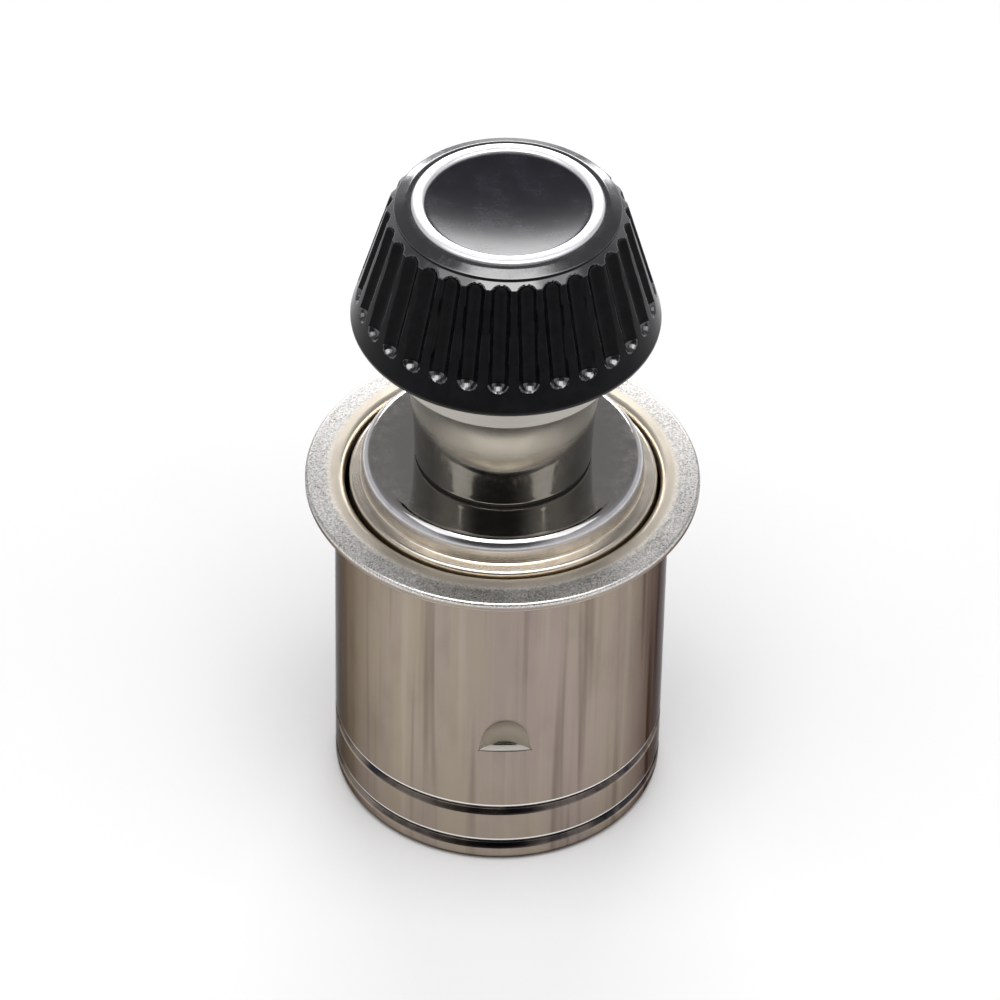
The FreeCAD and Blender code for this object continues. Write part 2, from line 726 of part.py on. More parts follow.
def make_element():
    """Heating element: cup, stud, ceramic bush and nut."""
    cup = new_body("element_cup")
    inner = "cup_radius - cup_wall"
    turn(cup, "cup_wall_and_end", [
        ("cup_hole", "cup_top"),
        ("cup_hole", "cup_top - cup_wall"),
        (inner, "cup_top - cup_wall"),
        (inner, "cup_rim"),
        ("cup_radius", "cup_rim"),
        ("cup_radius", "cup_top"),
    ])
    round_edges(cup, "cup_round", [("cup_radius", "cup_top")], "cup_round")
    stud = new_body("element_stud")
    flange_low = "mica_level - stud_flange_thickness"
    head_low = "coil_level"
    turn(stud, "stud_bar", [
        ("0", head_low),
        ("stud_head_radius", head_low),
        ("stud_head_radius", f"{head_low} + stud_head_length"),
        ("stud_radius", f"{head_low} + stud_head_length"),
        ("stud_radius", flange_low),
        ("stud_flange_radius", flange_low),
        ("stud_flange_radius", "mica_level"),
        ("stud_radius", "mica_level"),
        ("stud_radius", "stem_foot + stud_grip"),
        ("0", "stem_foot + stud_grip"),
    ])
    ceramic = new_body("ceramic_bush")
    nose = "stud_bore + ceramic_nose_wall"
    turn(ceramic, "ceramic_body", [
        ("stud_bore", "cup_top - cup_wall"),
        (nose, "cup_top - cup_wall"),
        (nose, "cup_top"),
        ("ceramic_radius", "cup_top"),
        ("ceramic_radius", "ceramic_top"),
        ("stud_bore", "ceramic_top"),
    ])
    return [cup, stud, ceramic]


def make_element_nut():
    """Hexagon nut on the element stud."""
    blank = doc.addObject("Part::Prism", "nut_blank")
    blank.Polygon = 6
    blank.setExpression("Circumradius", tied("nut_flats / sqrt(3)"))
    bore = doc.addObject("Part::Cylinder", "nut_bore")
    bore.setExpression("Radius", tied("stud_bore"))
    for item in (blank, bore):
        item.setExpression("Height", tied("nut_height"))
        item.setExpression("Placement.Base.z", tied("nut_level"))
    nut = doc.addObject("Part::Cut", "element_nut")
    nut.Label = "element_nut"
    nut.Base = blank
    nut.Tool = bore
    return nut


def make_heating_coil():
    """Flat ribbon wound in an even spiral from the stud's head out to the cup's wall."""
    path = doc.addObject("Part::Spiral", "coil_path")
    path.setExpression("Radius", tied("coil_inner"))
    path.setExpression("Growth", tied("(coil_outer - coil_inner) / coil_turns"))
    path.setExpression("Rotations", tied("coil_turns"))
    path.setExpression("Placement.Base.z", tied("coil_level"))
    ribbon = doc.addObject("Part::Plane", "coil_ribbon_section")
    ribbon.setExpression("Length", tied("coil_ribbon"))
    ribbon.setExpression("Width", tied("coil_height"))
    upright = FreeCAD.Rotation(FreeCAD.Vector(1, 0, 0), QUARTER_TURN)
    ribbon.Placement = FreeCAD.Placement(FreeCAD.Vector(), upright)
    ribbon.setExpression("Placement.Base.x", tied("coil_inner - coil_ribbon / 2"))
    ribbon.setExpression("Placement.Base.z", tied("coil_level"))
    doc.recompute()
    coil = doc.addObject("Part::Sweep", "heating_coil")
    coil.Label = "heating_coil"
    coil.Sections = [ribbon]
    coil.Spine = (path, [f"Edge{number}" for number in range(1, len(path.Shape.Edges) + 1)])
    coil.Solid = True
    coil.Frenet = True
    return coil


def check_document():
    """Stop if any object failed to rebuild."""
    doc.recompute()
    for item in doc.Objects:
        if "Invalid" in item.State or "Error" in item.State:
            raise RuntimeError(f"{item.Name} failed: {item.State}")


def write_parts(bodies):
    """Check every sub-part's solid, then write each to its own file."""
    for body in bodies:
        if body.Shape.isNull() or not body.Shape.isValid():
            raise RuntimeError(f"{body.Label} has no valid solid")
    os.makedirs("parts", exist_ok=True)
    for body in bodies:
        body.Shape.exportStep(f"parts/{body.Label}.step")
        box = body.Shape.BoundBox
        print(f"{body.Label}: {len(body.Shape.Solids)} solid, {body.Shape.Volume:.1f} cubic mm, "
              f"z {box.ZMin:.2f} to {box.ZMax:.2f}")


def main():
    """Build every sub-part and write it."""
    bodies = [make_guard_shell(), make_guide_barrel(), make_neck_collar(), make_knob()]
    bodies += make_turned_washers()
    bodies += make_knob_trim()
    bodies += make_stem_group()
    bodies += make_element()
    bodies += [make_spring_washer(), make_element_nut(), make_heating_coil()]
    bodies.append(make_return_spring())
    check_document()
    write_parts(bodies)


main()
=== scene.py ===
# %% [markdown]
# # A car cigarette lighter, dressed in Blender
#
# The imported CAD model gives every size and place. Its meshes are made of flat triangles, which show
# as facets in polished metal, so this lesson rebuilds each piece that can be seen as a smooth
# surface worked out with numpy, in the same place, and gives every piece a finish made of nodes.

# %% Load the frame
import json
import math

import bmesh
import bpy
import numpy as np
from mathutils import Euler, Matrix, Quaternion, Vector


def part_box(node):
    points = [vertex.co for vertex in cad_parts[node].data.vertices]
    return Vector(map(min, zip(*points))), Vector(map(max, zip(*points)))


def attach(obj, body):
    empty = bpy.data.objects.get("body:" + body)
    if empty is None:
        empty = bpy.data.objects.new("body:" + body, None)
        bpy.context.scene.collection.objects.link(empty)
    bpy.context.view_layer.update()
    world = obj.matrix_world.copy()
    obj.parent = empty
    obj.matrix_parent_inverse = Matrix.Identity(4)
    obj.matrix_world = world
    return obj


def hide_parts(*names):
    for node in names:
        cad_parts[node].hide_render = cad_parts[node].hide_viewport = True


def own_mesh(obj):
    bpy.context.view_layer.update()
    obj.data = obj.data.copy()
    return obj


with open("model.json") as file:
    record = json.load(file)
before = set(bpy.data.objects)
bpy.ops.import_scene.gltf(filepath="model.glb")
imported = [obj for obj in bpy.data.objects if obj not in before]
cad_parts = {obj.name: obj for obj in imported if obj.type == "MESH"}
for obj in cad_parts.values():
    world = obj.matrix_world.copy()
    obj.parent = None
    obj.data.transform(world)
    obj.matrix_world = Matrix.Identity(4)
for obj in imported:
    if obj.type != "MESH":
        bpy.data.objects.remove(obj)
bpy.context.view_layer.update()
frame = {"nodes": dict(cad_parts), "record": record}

MM = 0.001

# %% [markdown]
# ## Sizes from the frame
#
# A turned piece is known by a few radii and levels. The frame gives most of them as the corners of
# a node's box, so a change in the CAD model carries through. What a box can't tell, such as the
# thickness of a wall, is a named value beside the piece that has it. All sizes are in millimetres.

# %% Read radii and levels from the node boxes


def reach(node):
    """Largest radius, lowest level and highest level of a node about the Z axis, in millimetres."""
    low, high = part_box(node)
    return high[0] / MM, low[2] / MM, high[2] / MM


FLANGE_RADIUS, SHELL_FOOT, SHELL_TOP = reach("guard_shell")
BARREL_RADIUS, SKIRT_LEVEL, PLATE_LEVEL = reach("guide_barrel")
WASHER_RADIUS, WASHER_LOW, WASHER_TOP = reach("neck_washer")
LIP_RADIUS, COLLAR_LEVEL, KNOB_LEVEL = reach("neck_collar")
KNOB_RADIUS, BOSS_LEVEL, PLATFORM_LEVEL = reach("knob")
RING_RADIUS, RECESS_LEVEL, RING_TOP = reach("knob_trim_ring")
DISC_RADIUS, DISC_LOW, DISC_EDGE = reach("knob_face_disc")
SPRING_RADIUS, SPRING_LOW, SPRING_TOP = reach("return_spring")
CUP_RADIUS, CUP_RIM, CUP_TOP = reach("element_cup")
_, COIL_LOW, COIL_TOP = reach("heating_coil")
print("flange radius", round(FLANGE_RADIUS, 2), "knob radius", round(KNOB_RADIUS, 2))

# %% [markdown]
# ## Outlines with rounded corners
#
# Nearly every piece here was drawn, turned or moulded round one axis, so its section is an outline
# of straight sides with small rounds. A Bevel modifier could round the corners afterwards, but a
# round that is worked out in the outline keeps the same width all the way round and costs nothing.
# Smooth shading bends the light across a whole side when the next face turns away, so a support
# point close to both ends of a long side keeps the side flat.

# %% Trace a rounded outline
TINY = 1e-6


def rounded_profile(corners, closed=True, steps=6, support=0.05, long_side=0.45):
    """Trace an outline of (radius, height, round) corners.

    At each corner both sides are cut back by round / tan(half the corner's angle). An arc of that
    round about a point on the bisector joins them. Long sides get a support point near each end.
    """
    corners = np.asarray(corners, dtype=float)
    place = corners[:, :2]
    bend = np.maximum(corners[:, 2], TINY)[:, None]
    back = np.roll(place, 1, axis=0) - place
    ahead = np.roll(place, -1, axis=0) - place
    back /= np.linalg.norm(back, axis=1, keepdims=True)
    ahead /= np.linalg.norm(ahead, axis=1, keepdims=True)
    half = np.arccos(np.clip((back * ahead).sum(axis=1, keepdims=True), -1, 1)) / 2
    bisector = back + ahead
    bisector /= np.maximum(np.linalg.norm(bisector, axis=1, keepdims=True), TINY)
    centre = place + bisector * bend / np.sin(half)
    first = (place + back * bend / np.tan(half) - centre)[:, None]
    last = (place + ahead * bend / np.tan(half) - centre)[:, None]
    sweep = (np.pi - 2 * half)[:, None]
    step = np.linspace(0, 1, steps + 1)[None, :, None]
    spoke = np.sin((1 - step) * sweep) * first + np.sin(step * sweep) * last
    arc = centre[:, None] + spoke / np.maximum(np.sin(sweep), TINY)
    side = np.roll(arc[:, 0], -1, axis=0) - arc[:, -1]
    length = np.linalg.norm(side, axis=1, keepdims=True)
    inset = side * np.where(length > long_side, support, 0) / np.maximum(length, TINY)
    after = (arc[:, -1] + inset)[:, None]
    before = (np.roll(arc[:, 0], -1, axis=0) - inset)[:, None]
    points = np.concatenate([arc, after, before], axis=1).reshape(-1, 2)
    if not closed:
        points = points[:-2]
    moved = np.linalg.norm(points - np.roll(points, 1, axis=0), axis=1) > 100 * TINY
    moved[0] |= not closed
    return points[moved]


def denser(profile, chosen, spacing):
    """Split the chosen sides of an outline into equal steps no longer than spacing."""
    side = np.roll(profile, -1, axis=0) - profile
    parts = np.ceil(np.linalg.norm(side, axis=1) / spacing)
    parts = np.where(chosen, np.maximum(parts, 1), 1).astype(int)
    owner = np.repeat(np.arange(len(profile)), parts)
    first = np.cumsum(parts) - parts
    share = (np.arange(len(owner)) - first[owner]) / parts[owner]
    return profile[owner] + side[owner] * share[:, None]


# %% [markdown]
# ## From an outline to a mesh
#
# A lathe shape is a grid: rows follow the outline and columns go round the axis. The formula gives
# all points at once as one array, and a second array holds the faces. Rows that meet on the axis,
# or that share a place on purpose, are merged afterwards, so the surface is closed.

# %% Lathe and mesh helpers
MERGE = 1e-8
COLUMNS = 240


def round_angles(count=COLUMNS):
    """Evenly spaced angles round the axis."""
    return np.arange(count) * (2 * np.pi / count)


def carry_round(profile, angles):
    """Turn an outline about Z: x = radius cos angle, y = radius sin angle, z = height."""
    radius = profile[:, :1]
    height = np.broadcast_to(profile[:, 1:], (len(profile), len(angles)))
    return np.stack([radius * np.cos(angles), radius * np.sin(angles), height], axis=-1)


def quads_between(rows, next_rows, columns, count):
    """Faces from each row to its next row over some columns, which wrap at count."""
    here = np.asarray(rows)[:, None] * count
    there = np.asarray(next_rows)[:, None] * count
    left = np.asarray(columns)[None, :]
    right = (left + 1) % count
    return np.stack([here + left, here + right, there + right, there + left], axis=-1).reshape(-1, 4)


def lathe_quads(rows, count, closed):
    """Faces of a whole lathe grid; a closed outline also joins its last row to its first."""
    row = np.arange(rows if closed else rows - 1)
    return quads_between(row, (row + 1) % rows, np.arange(count), count)


def make_piece(name, points, quads, body, node, sharp=50):
    """Make a mesh object of points in millimetres, in place of a CAD node, riding on its body."""
    mesh = bpy.data.meshes.new(name)
    mesh.from_pydata((points.reshape(-1, 3) * MM).tolist(), [], quads.tolist())
    shape = bmesh.new()
    shape.from_mesh(mesh)
    bmesh.ops.remove_doubles(shape, verts=shape.verts, dist=MERGE)
    shape.to_mesh(mesh)
    open_edges = sum(not edge.is_manifold for edge in shape.edges)
    volume = shape.calc_volume(signed=True) / MM ** 3
    shape.free()
    mesh.polygons.foreach_set("use_smooth", np.ones(len(mesh.polygons), dtype=bool))
    mesh.set_sharp_from_angle(angle=math.radians(sharp))
    piece = bpy.data.objects.new(name, mesh)
    bpy.context.scene.collection.objects.link(piece)
    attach(piece, body)
    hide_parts(node)
    print(f"{name}: {len(mesh.polygons)} faces, {open_edges} open edges, {volume:.1f} cubic mm")
    return piece


def turned_piece(name, corners, body, node, closed=True, steps=6):
    """A plain lathe piece from the corners of its outline."""
    profile = rounded_profile(corners, closed, steps)
    angles = round_angles()
    quads = lathe_quads(len(profile), len(angles), closed)
    return make_piece(name, carry_round(profile, angles), quads, body, node)


# %% [markdown]
# ## Guard shell
#
# The shell is a cup of sheet steel drawn into a tube, with its mouth turned out as a flange, two
# fine rolled grooves near the foot and three lances: tongues sheared along a straight lower edge
# and pressed inwards, which keep the plunger from falling out. The tube is a lathe grid whose row
# at the shear is doubled. Above it the wall is pushed towards the axis by the depth of a domed
# punch, and below it the wall stays, so the shear opens without a Boolean.

# %% Shell outline
SHELL_RADIUS = 10.4
SHELL_BORE = 9.8
FOOT_BORE = 7.6
SHELL_WALL = SHELL_RADIUS - SHELL_BORE
FLANGE_UNDER = 22.75
FLANGE_EDGE = 23.4
GROOVE_LEVELS = (1.42, 4.35)
GROOVE_HALF = 0.4
GROOVE_DEPTH = 0.22
LANCE_LEVEL = 9.45
LANCE_RISE = 2.7
LANCE_WIDTH = 3.58
LANCE_DEPTH = 0.78
LANCE_ANGLES = np.radians(32.8 + np.array([0, 120, 240]))
LANCE_SOFT = 0.10
LANCE_CLEAR = 0.35
LANCE_END = LANCE_LEVEL + LANCE_RISE + LANCE_CLEAR
LANCE_ROWS = 0.1
SHEET_ROUND = 0.12
FOOT_ROUND = 0.6
GROOVE_ROUND = 0.10
THROAT_ROUND = 0.3
RIM_ROUND = 0.2
MOUTH_ROUND = 0.42

shell_corners = [(FOOT_BORE, SHELL_FOOT, SHEET_ROUND), (SHELL_RADIUS, SHELL_FOOT, FOOT_ROUND)]
for level in GROOVE_LEVELS:
    shell_corners += [
        (SHELL_RADIUS, level - GROOVE_HALF, GROOVE_ROUND),
        (SHELL_RADIUS - GROOVE_DEPTH, level, GROOVE_ROUND),
        (SHELL_RADIUS, level + GROOVE_HALF, GROOVE_ROUND),
    ]
shell_corners += [
    (SHELL_RADIUS, LANCE_LEVEL, 0),
    (SHELL_RADIUS, LANCE_END, 0),
    (SHELL_RADIUS, FLANGE_UNDER, THROAT_ROUND),
    (FLANGE_RADIUS, FLANGE_UNDER, RIM_ROUND),
    (FLANGE_RADIUS, FLANGE_EDGE, RIM_ROUND),
    (SHELL_BORE, SHELL_TOP, MOUTH_ROUND),
    (SHELL_BORE, LANCE_END, 0),
    (SHELL_BORE, LANCE_LEVEL, 0),
    (SHELL_BORE, SHELL_WALL, RIM_ROUND),
    (FOOT_BORE, SHELL_WALL, SHEET_ROUND),
]
shell_profile = rounded_profile(shell_corners, steps=7)
shell_next = np.roll(shell_profile, -1, axis=0)
in_lance_zone = ((np.minimum(shell_profile[:, 1], shell_next[:, 1]) > LANCE_LEVEL - TINY)
                 & (np.maximum(shell_profile[:, 1], shell_next[:, 1]) < LANCE_END + TINY))
shell_profile = denser(shell_profile, in_lance_zone, LANCE_ROWS)
print("shell outline:", len(shell_profile), "points")

# %% Press of the lances


def lance_press(angles, levels):
    """How far the punch pushes the wall in, for all levels and angles.

    The punch is round with radius P and its face bends outwards as it rises. With y the distance
    from the middle of the lance, the face is at x = C + depth (rise / height)^2 - sqrt(P^2 - y^2),
    and the press is wall x - face x, eased to nothing over a short band where the surfaces meet.
    """
    punch = (LANCE_WIDTH ** 2 / 4 + LANCE_DEPTH ** 2) / (2 * LANCE_DEPTH)
    centre = SHELL_RADIUS - LANCE_DEPTH + punch
    offset = np.angle(np.exp(1j * (angles[:, None] - LANCE_ANGLES)))
    nearest = np.abs(offset).argmin(axis=1)
    sideways = SHELL_RADIUS * np.sin(np.take_along_axis(offset, nearest[:, None], axis=1)[:, 0])
    inside = np.abs(sideways) < punch
    wall = np.sqrt(SHELL_RADIUS ** 2 - sideways ** 2)
    face = centre - np.sqrt(np.maximum(punch ** 2 - sideways ** 2, 0))
    lean = LANCE_DEPTH * (np.maximum(levels - LANCE_LEVEL, 0) / LANCE_RISE) ** 2
    gap = np.where(inside, wall - face, -1.0)[None, :] - lean[:, None]
    eased = (gap + LANCE_SOFT) ** 2 / (4 * LANCE_SOFT)
    return np.where(gap > LANCE_SOFT, gap, np.where(gap > -LANCE_SOFT, eased, 0)), nearest


# %% Shell with its lances
LANCE_REACH = 12.0
LANCE_COLUMNS = 0.4
TONGUE_THINNED = 0.1


def make_shell():
    """Lathe grid with a doubled row at the shear: caps close the sheared columns."""
    lance_spread = np.radians(np.arange(-LANCE_REACH, LANCE_REACH + 0.01, LANCE_COLUMNS))
    fine = (LANCE_ANGLES[:, None] + lance_spread).ravel() % (2 * np.pi)
    coarse = round_angles()
    away = np.abs(np.angle(np.exp(1j * (coarse[:, None] - LANCE_ANGLES)))).min(axis=1)
    angles = np.sort(np.concatenate([coarse[away > np.radians(LANCE_REACH + 0.3)], fine]))
    count = len(angles)
    sheared = np.flatnonzero(np.abs(shell_profile[:, 1] - LANCE_LEVEL) < 100 * TINY)
    outer, inner = sheared
    rows = np.insert(np.arange(len(shell_profile)), [outer, inner], [outer, inner])
    low_outer, high_outer, high_inner, low_inner = outer, outer + 1, inner + 1, inner + 2
    outline = shell_profile[rows]
    points = carry_round(outline, angles)
    press, nearest = lance_press(angles, outline[:, 1])
    upper = np.zeros(len(rows))
    upper[high_outer:high_inner + 1] = 1.0
    upper[outline[:, 1] > LANCE_END + TINY] = 0.0
    on_bore = outline[:, 0] < SHELL_BORE + TINY
    upper[on_bore & (upper > 0)] = 1 - TONGUE_THINNED / LANCE_DEPTH
    press = press * upper[:, None]
    points[..., 0] -= press * np.cos(LANCE_ANGLES[nearest])
    points[..., 1] -= press * np.sin(LANCE_ANGLES[nearest])
    every = np.arange(count)
    opened = press[high_outer] > 0
    cut_columns = np.flatnonzero(opened | np.roll(opened, -1))
    row = np.delete(np.arange(len(rows)), [low_outer, high_inner])
    quads = np.concatenate([
        quads_between(row, (row + 1) % len(rows), every, count),
        quads_between([low_outer, high_inner], [low_inner, high_outer], cut_columns, count),
    ])
    return make_piece("drawn_shell", points, quads, "shell", "guard_shell")


drawn_shell = make_shell()

# %% [markdown]
# ## Guide barrel
#
# The barrel slides inside the shell. Its top is a raised plate with a soft rim and a ledge, and its
# skirt has three slots for the lances. A slot is a rectangle of grid cells left out of both walls,
# with four strips that join the walls along its edges, which is exact and needs no cutting tool. The
# skirt has a little play in the shell and sits aside in it, so the gap round it isn't even.

# %% Stepped barrel with slots
BARREL_WALL = 0.5
LEDGE_LEVEL = 23.65
CAP_RADIUS = 8.75
STEM_HOLE = 2.2
SLOT_LOW = 9.3
SLOT_TOP = 18.3
SLOT_WIDTH = 4.18
SLOT_SPARE = 0.5
EDGE_ROUND = 0.1
LEDGE_ROUND = 0.28
PLATE_ROUND = 0.7
SIT_ASIDE = np.array([0.04, -0.09])
SIT_RADIUS = (8.9, 9.3)


def make_barrel():
    """Lathe grid with columns on the slots' sides and rows on their ends."""
    inner = BARREL_RADIUS - BARREL_WALL
    profile = rounded_profile([
        (inner, SKIRT_LEVEL, EDGE_ROUND),
        (BARREL_RADIUS, SKIRT_LEVEL, EDGE_ROUND),
        (BARREL_RADIUS, SLOT_LOW, 0),
        (BARREL_RADIUS, SLOT_TOP, 0),
        (BARREL_RADIUS, LEDGE_LEVEL, LEDGE_ROUND),
        (CAP_RADIUS, LEDGE_LEVEL, 0.2),
        (CAP_RADIUS, PLATE_LEVEL, PLATE_ROUND),
        (STEM_HOLE, PLATE_LEVEL, 0.05),
        (STEM_HOLE, PLATE_LEVEL - BARREL_WALL, 0.05),
        (CAP_RADIUS - BARREL_WALL, PLATE_LEVEL - BARREL_WALL, EDGE_ROUND),
        (CAP_RADIUS - BARREL_WALL, LEDGE_LEVEL - BARREL_WALL, EDGE_ROUND),
        (inner, LEDGE_LEVEL - BARREL_WALL, EDGE_ROUND),
        (inner, SLOT_TOP, 0),
        (inner, SLOT_LOW, 0),
    ], steps=8)
    half = np.arcsin(SLOT_WIDTH / 2 / BARREL_RADIUS)
    sides = (LANCE_ANGLES[:, None] + np.array([-half, half])).ravel() % (2 * np.pi)
    coarse = round_angles()
    near = np.abs(np.angle(np.exp(1j * (coarse[:, None] - sides)))).min(axis=1)
    angles = np.sort(np.concatenate([coarse[near > np.radians(SLOT_SPARE)], sides]))
    count = len(angles)
    middle = angles + (np.roll(angles, -1) - angles) % (2 * np.pi) / 2
    in_slot = np.abs(np.angle(np.exp(1j * (middle[:, None] - LANCE_ANGLES)))).min(axis=1) < half
    at_low = np.flatnonzero(np.abs(profile[:, 1] - SLOT_LOW) < 100 * TINY)
    at_top = np.flatnonzero(np.abs(profile[:, 1] - SLOT_TOP) < 100 * TINY)
    outer_rows = np.arange(at_low[0], at_top[0])
    inner_rows = np.arange(at_top[1], at_low[1])
    open_row = np.concatenate([outer_rows, inner_rows])
    solid_row = np.setdiff1d(np.arange(len(profile)), open_row)
    slot, land = np.flatnonzero(in_slot), np.flatnonzero(~in_slot)
    first = np.flatnonzero(in_slot & ~np.roll(in_slot, 1))
    last = (np.flatnonzero(in_slot & ~np.roll(in_slot, -1)) + 1) % count
    quads = [
        quads_between(solid_row, (solid_row + 1) % len(profile), np.arange(count), count),
        quads_between(open_row, open_row + 1, land, count),
        quads_between([at_low[0]], [at_low[1]], slot, count),
        quads_between([at_top[1]], [at_top[0]], slot, count),
    ]
    rows_out = np.append(outer_rows, at_top[0])
    rows_in = np.append(inner_rows, at_low[1])[::-1]
    for column, turn in ((first, -1), (last, 1)):
        ends = [rows_out[:-1], rows_out[1:], rows_in[1:], rows_in[:-1]][::turn]
        corners = [end[:, None] * count + column for end in ends]
        quads.append(np.stack(corners, axis=-1).reshape(-1, 4))
    points = carry_round(profile, angles)
    outer_share = np.clip((profile[:, 0] - SIT_RADIUS[0]) / (SIT_RADIUS[1] - SIT_RADIUS[0]), 0, 1)
    points[..., :2] += outer_share[:, None, None] * SIT_ASIDE
    return make_piece("stepped_barrel", points, np.concatenate(quads), "plunger",
                      "guide_barrel")


stepped_barrel = make_barrel()

# %% [markdown]
# ## Neck
#
# A thin dark fibre washer lies on the plate, and a drawn collar stands on it: a neck that opens into
# a trumpet under the knob. Two tangent arcs could draw it, but a power curve bends more and more
# towards the lip without a break, as spun metal does. The neck leans out slightly from its foot, and
# the flare adds to it: radius = foot + lean x height + opening x climb^4.

# %% Washer and trumpet collar
NECK_FOOT = 5.5
NECK_LEAN = 0.032
COLLAR_WALL = 0.5
COLLAR_FLOOR = 0.25
FOOT_RISE = 0.3
LIP_LEVEL = 32.9
LIP_ROUND = 0.25
FLARE_POWER = 4.0
FLARE_STEPS = 30

fibre_washer = turned_piece("fibre_washer", [
    (STEM_HOLE, WASHER_LOW, 0.03),
    (WASHER_RADIUS, WASHER_LOW, 0.05),
    (WASHER_RADIUS, WASHER_TOP, 0.05),
    (STEM_HOLE, WASHER_TOP, 0.03),
], "plunger", "neck_washer", steps=3)

climb = np.linspace(0, 1, FLARE_STEPS)
flare_height = COLLAR_LEVEL + FOOT_RISE + climb * (LIP_LEVEL - COLLAR_LEVEL - FOOT_RISE)
neck_width = NECK_FOOT + NECK_LEAN * (flare_height - flare_height[0])
flare_width = neck_width + (LIP_RADIUS - neck_width[-1]) * climb ** FLARE_POWER
outer_flare = np.column_stack([flare_width, flare_height, np.zeros(FLARE_STEPS)])
inner_flare = outer_flare[::-1] - np.array([COLLAR_WALL, 0, 0])
outer_flare[-1, 2] = LIP_ROUND
trumpet_collar = turned_piece("trumpet_collar", [
    (STEM_HOLE, COLLAR_LEVEL, 0.05),
    (NECK_FOOT, COLLAR_LEVEL, 0.12),
    *outer_flare,
    (LIP_RADIUS, KNOB_LEVEL, 0.05),
    (LIP_RADIUS - COLLAR_WALL, KNOB_LEVEL, 0.05),
    *inner_flare,
    (NECK_FOOT - COLLAR_WALL, COLLAR_LEVEL + COLLAR_FLOOR, 0.02),
    (STEM_HOLE, COLLAR_LEVEL + COLLAR_FLOOR, 0.02),
], "plunger", "neck_collar", steps=8)

# %% [markdown]
# ## Knob
#
# The knob is a moulded cone with thirty round flutes for the fingers, a sloping shoulder and a flat
# platform with a recess. Each flute is the path of a round-nosed cutter: a bar of radius r with a
# ball at each end, whose axis runs along the flank. In flank coordinates, s along the slope, n
# straight out and u sideways, the cutter leaves n = proud - sqrt(r^2 - u^2 - miss^2), where miss is
# how far s is past the last ball's centre. The surface takes the lower of the cone and the cutter.

# %% Knob outline
FLANK_LEVEL = 36.25
SHOULDER_LEVEL = 43.75
SHOULDER_RADIUS = 7.29
STEP_LEVEL = 44.13
STEP_RADIUS = 6.84
PLATFORM_FALL = 0.28
PLATFORM_SLOPE = 0.7
RECESS_RADIUS = RING_RADIUS + 0.02
BOSS_RADIUS = 5.0
BUSH_HOLE = 3.17
BUSH_SPACE_TOP = 39.0
FLUTE_COUNT = 30
FLUTE_TURN = 3.6
FLUTE_RADIUS = 0.62
FLUTE_DEPTH = 0.46
FLUTE_FOOT = 1.2
FLUTE_TOP_GAP = 0.25
FLUTE_SOFT = 0.07
COLUMNS_PER_FLUTE = 24
FINE_ROWS = 0.085
FLANK_ROWS = 0.4

flank_foot = np.array([KNOB_RADIUS, FLANK_LEVEL])
flank_way = np.array([SHOULDER_RADIUS, SHOULDER_LEVEL]) - flank_foot
flank_length = np.linalg.norm(flank_way)
flank_way /= flank_length
flank_out = np.array([flank_way[1], -flank_way[0]])
nose_end = flank_foot + flank_way * (FLUTE_FOOT + 2 * FLUTE_RADIUS)
head_start = flank_foot + flank_way * (flank_length - 3 * FLUTE_RADIUS)
knob_profile = rounded_profile([
    (0, BUSH_SPACE_TOP, 0),
    (BUSH_HOLE, BUSH_SPACE_TOP, 0),
    (BUSH_HOLE, BOSS_LEVEL, 0),
    (BOSS_RADIUS, BOSS_LEVEL, 0),
    (BOSS_RADIUS, KNOB_LEVEL, 0),
    (KNOB_RADIUS, KNOB_LEVEL, 0.5),
    (*flank_foot, 0.4),
    (*nose_end, 0),
    (*head_start, 0),
    (SHOULDER_RADIUS, SHOULDER_LEVEL, 0.18),
    (STEP_RADIUS, STEP_LEVEL, 0.04),
    (STEP_RADIUS, PLATFORM_LEVEL - PLATFORM_FALL, 0.08),
    (STEP_RADIUS - PLATFORM_SLOPE, PLATFORM_LEVEL, 0.3),
    (RECESS_RADIUS, PLATFORM_LEVEL, 0.05),
    (RECESS_RADIUS, RECESS_LEVEL, 0),
    (0, RECESS_LEVEL, 0),
], closed=False, steps=5)
along_flank = (knob_profile - flank_foot) @ flank_way
next_along = np.append(along_flank[1:], along_flank[-1])
on_flank = np.abs((knob_profile - flank_foot) @ flank_out) < 0.3
near_end = (next_along < FLUTE_FOOT + 2 * FLUTE_RADIUS + 0.1) | (along_flank > flank_length - 2)
rising = on_flank & (next_along > 0.2) & (next_along > along_flank)
knob_profile = denser(knob_profile, rising, np.where(near_end, FINE_ROWS, FLANK_ROWS))
print("knob outline:", len(knob_profile), "points, flank", round(flank_length, 2), "mm long")

# %% Fluted knob


def soft_lower(first, second, ease):
    """The lower of two heights, with the crease between them rounded over a band of ease."""
    share = np.clip(0.5 + (second - first) / (2 * ease), 0, 1)
    return second + (first - second) * share - ease * share * (1 - share)


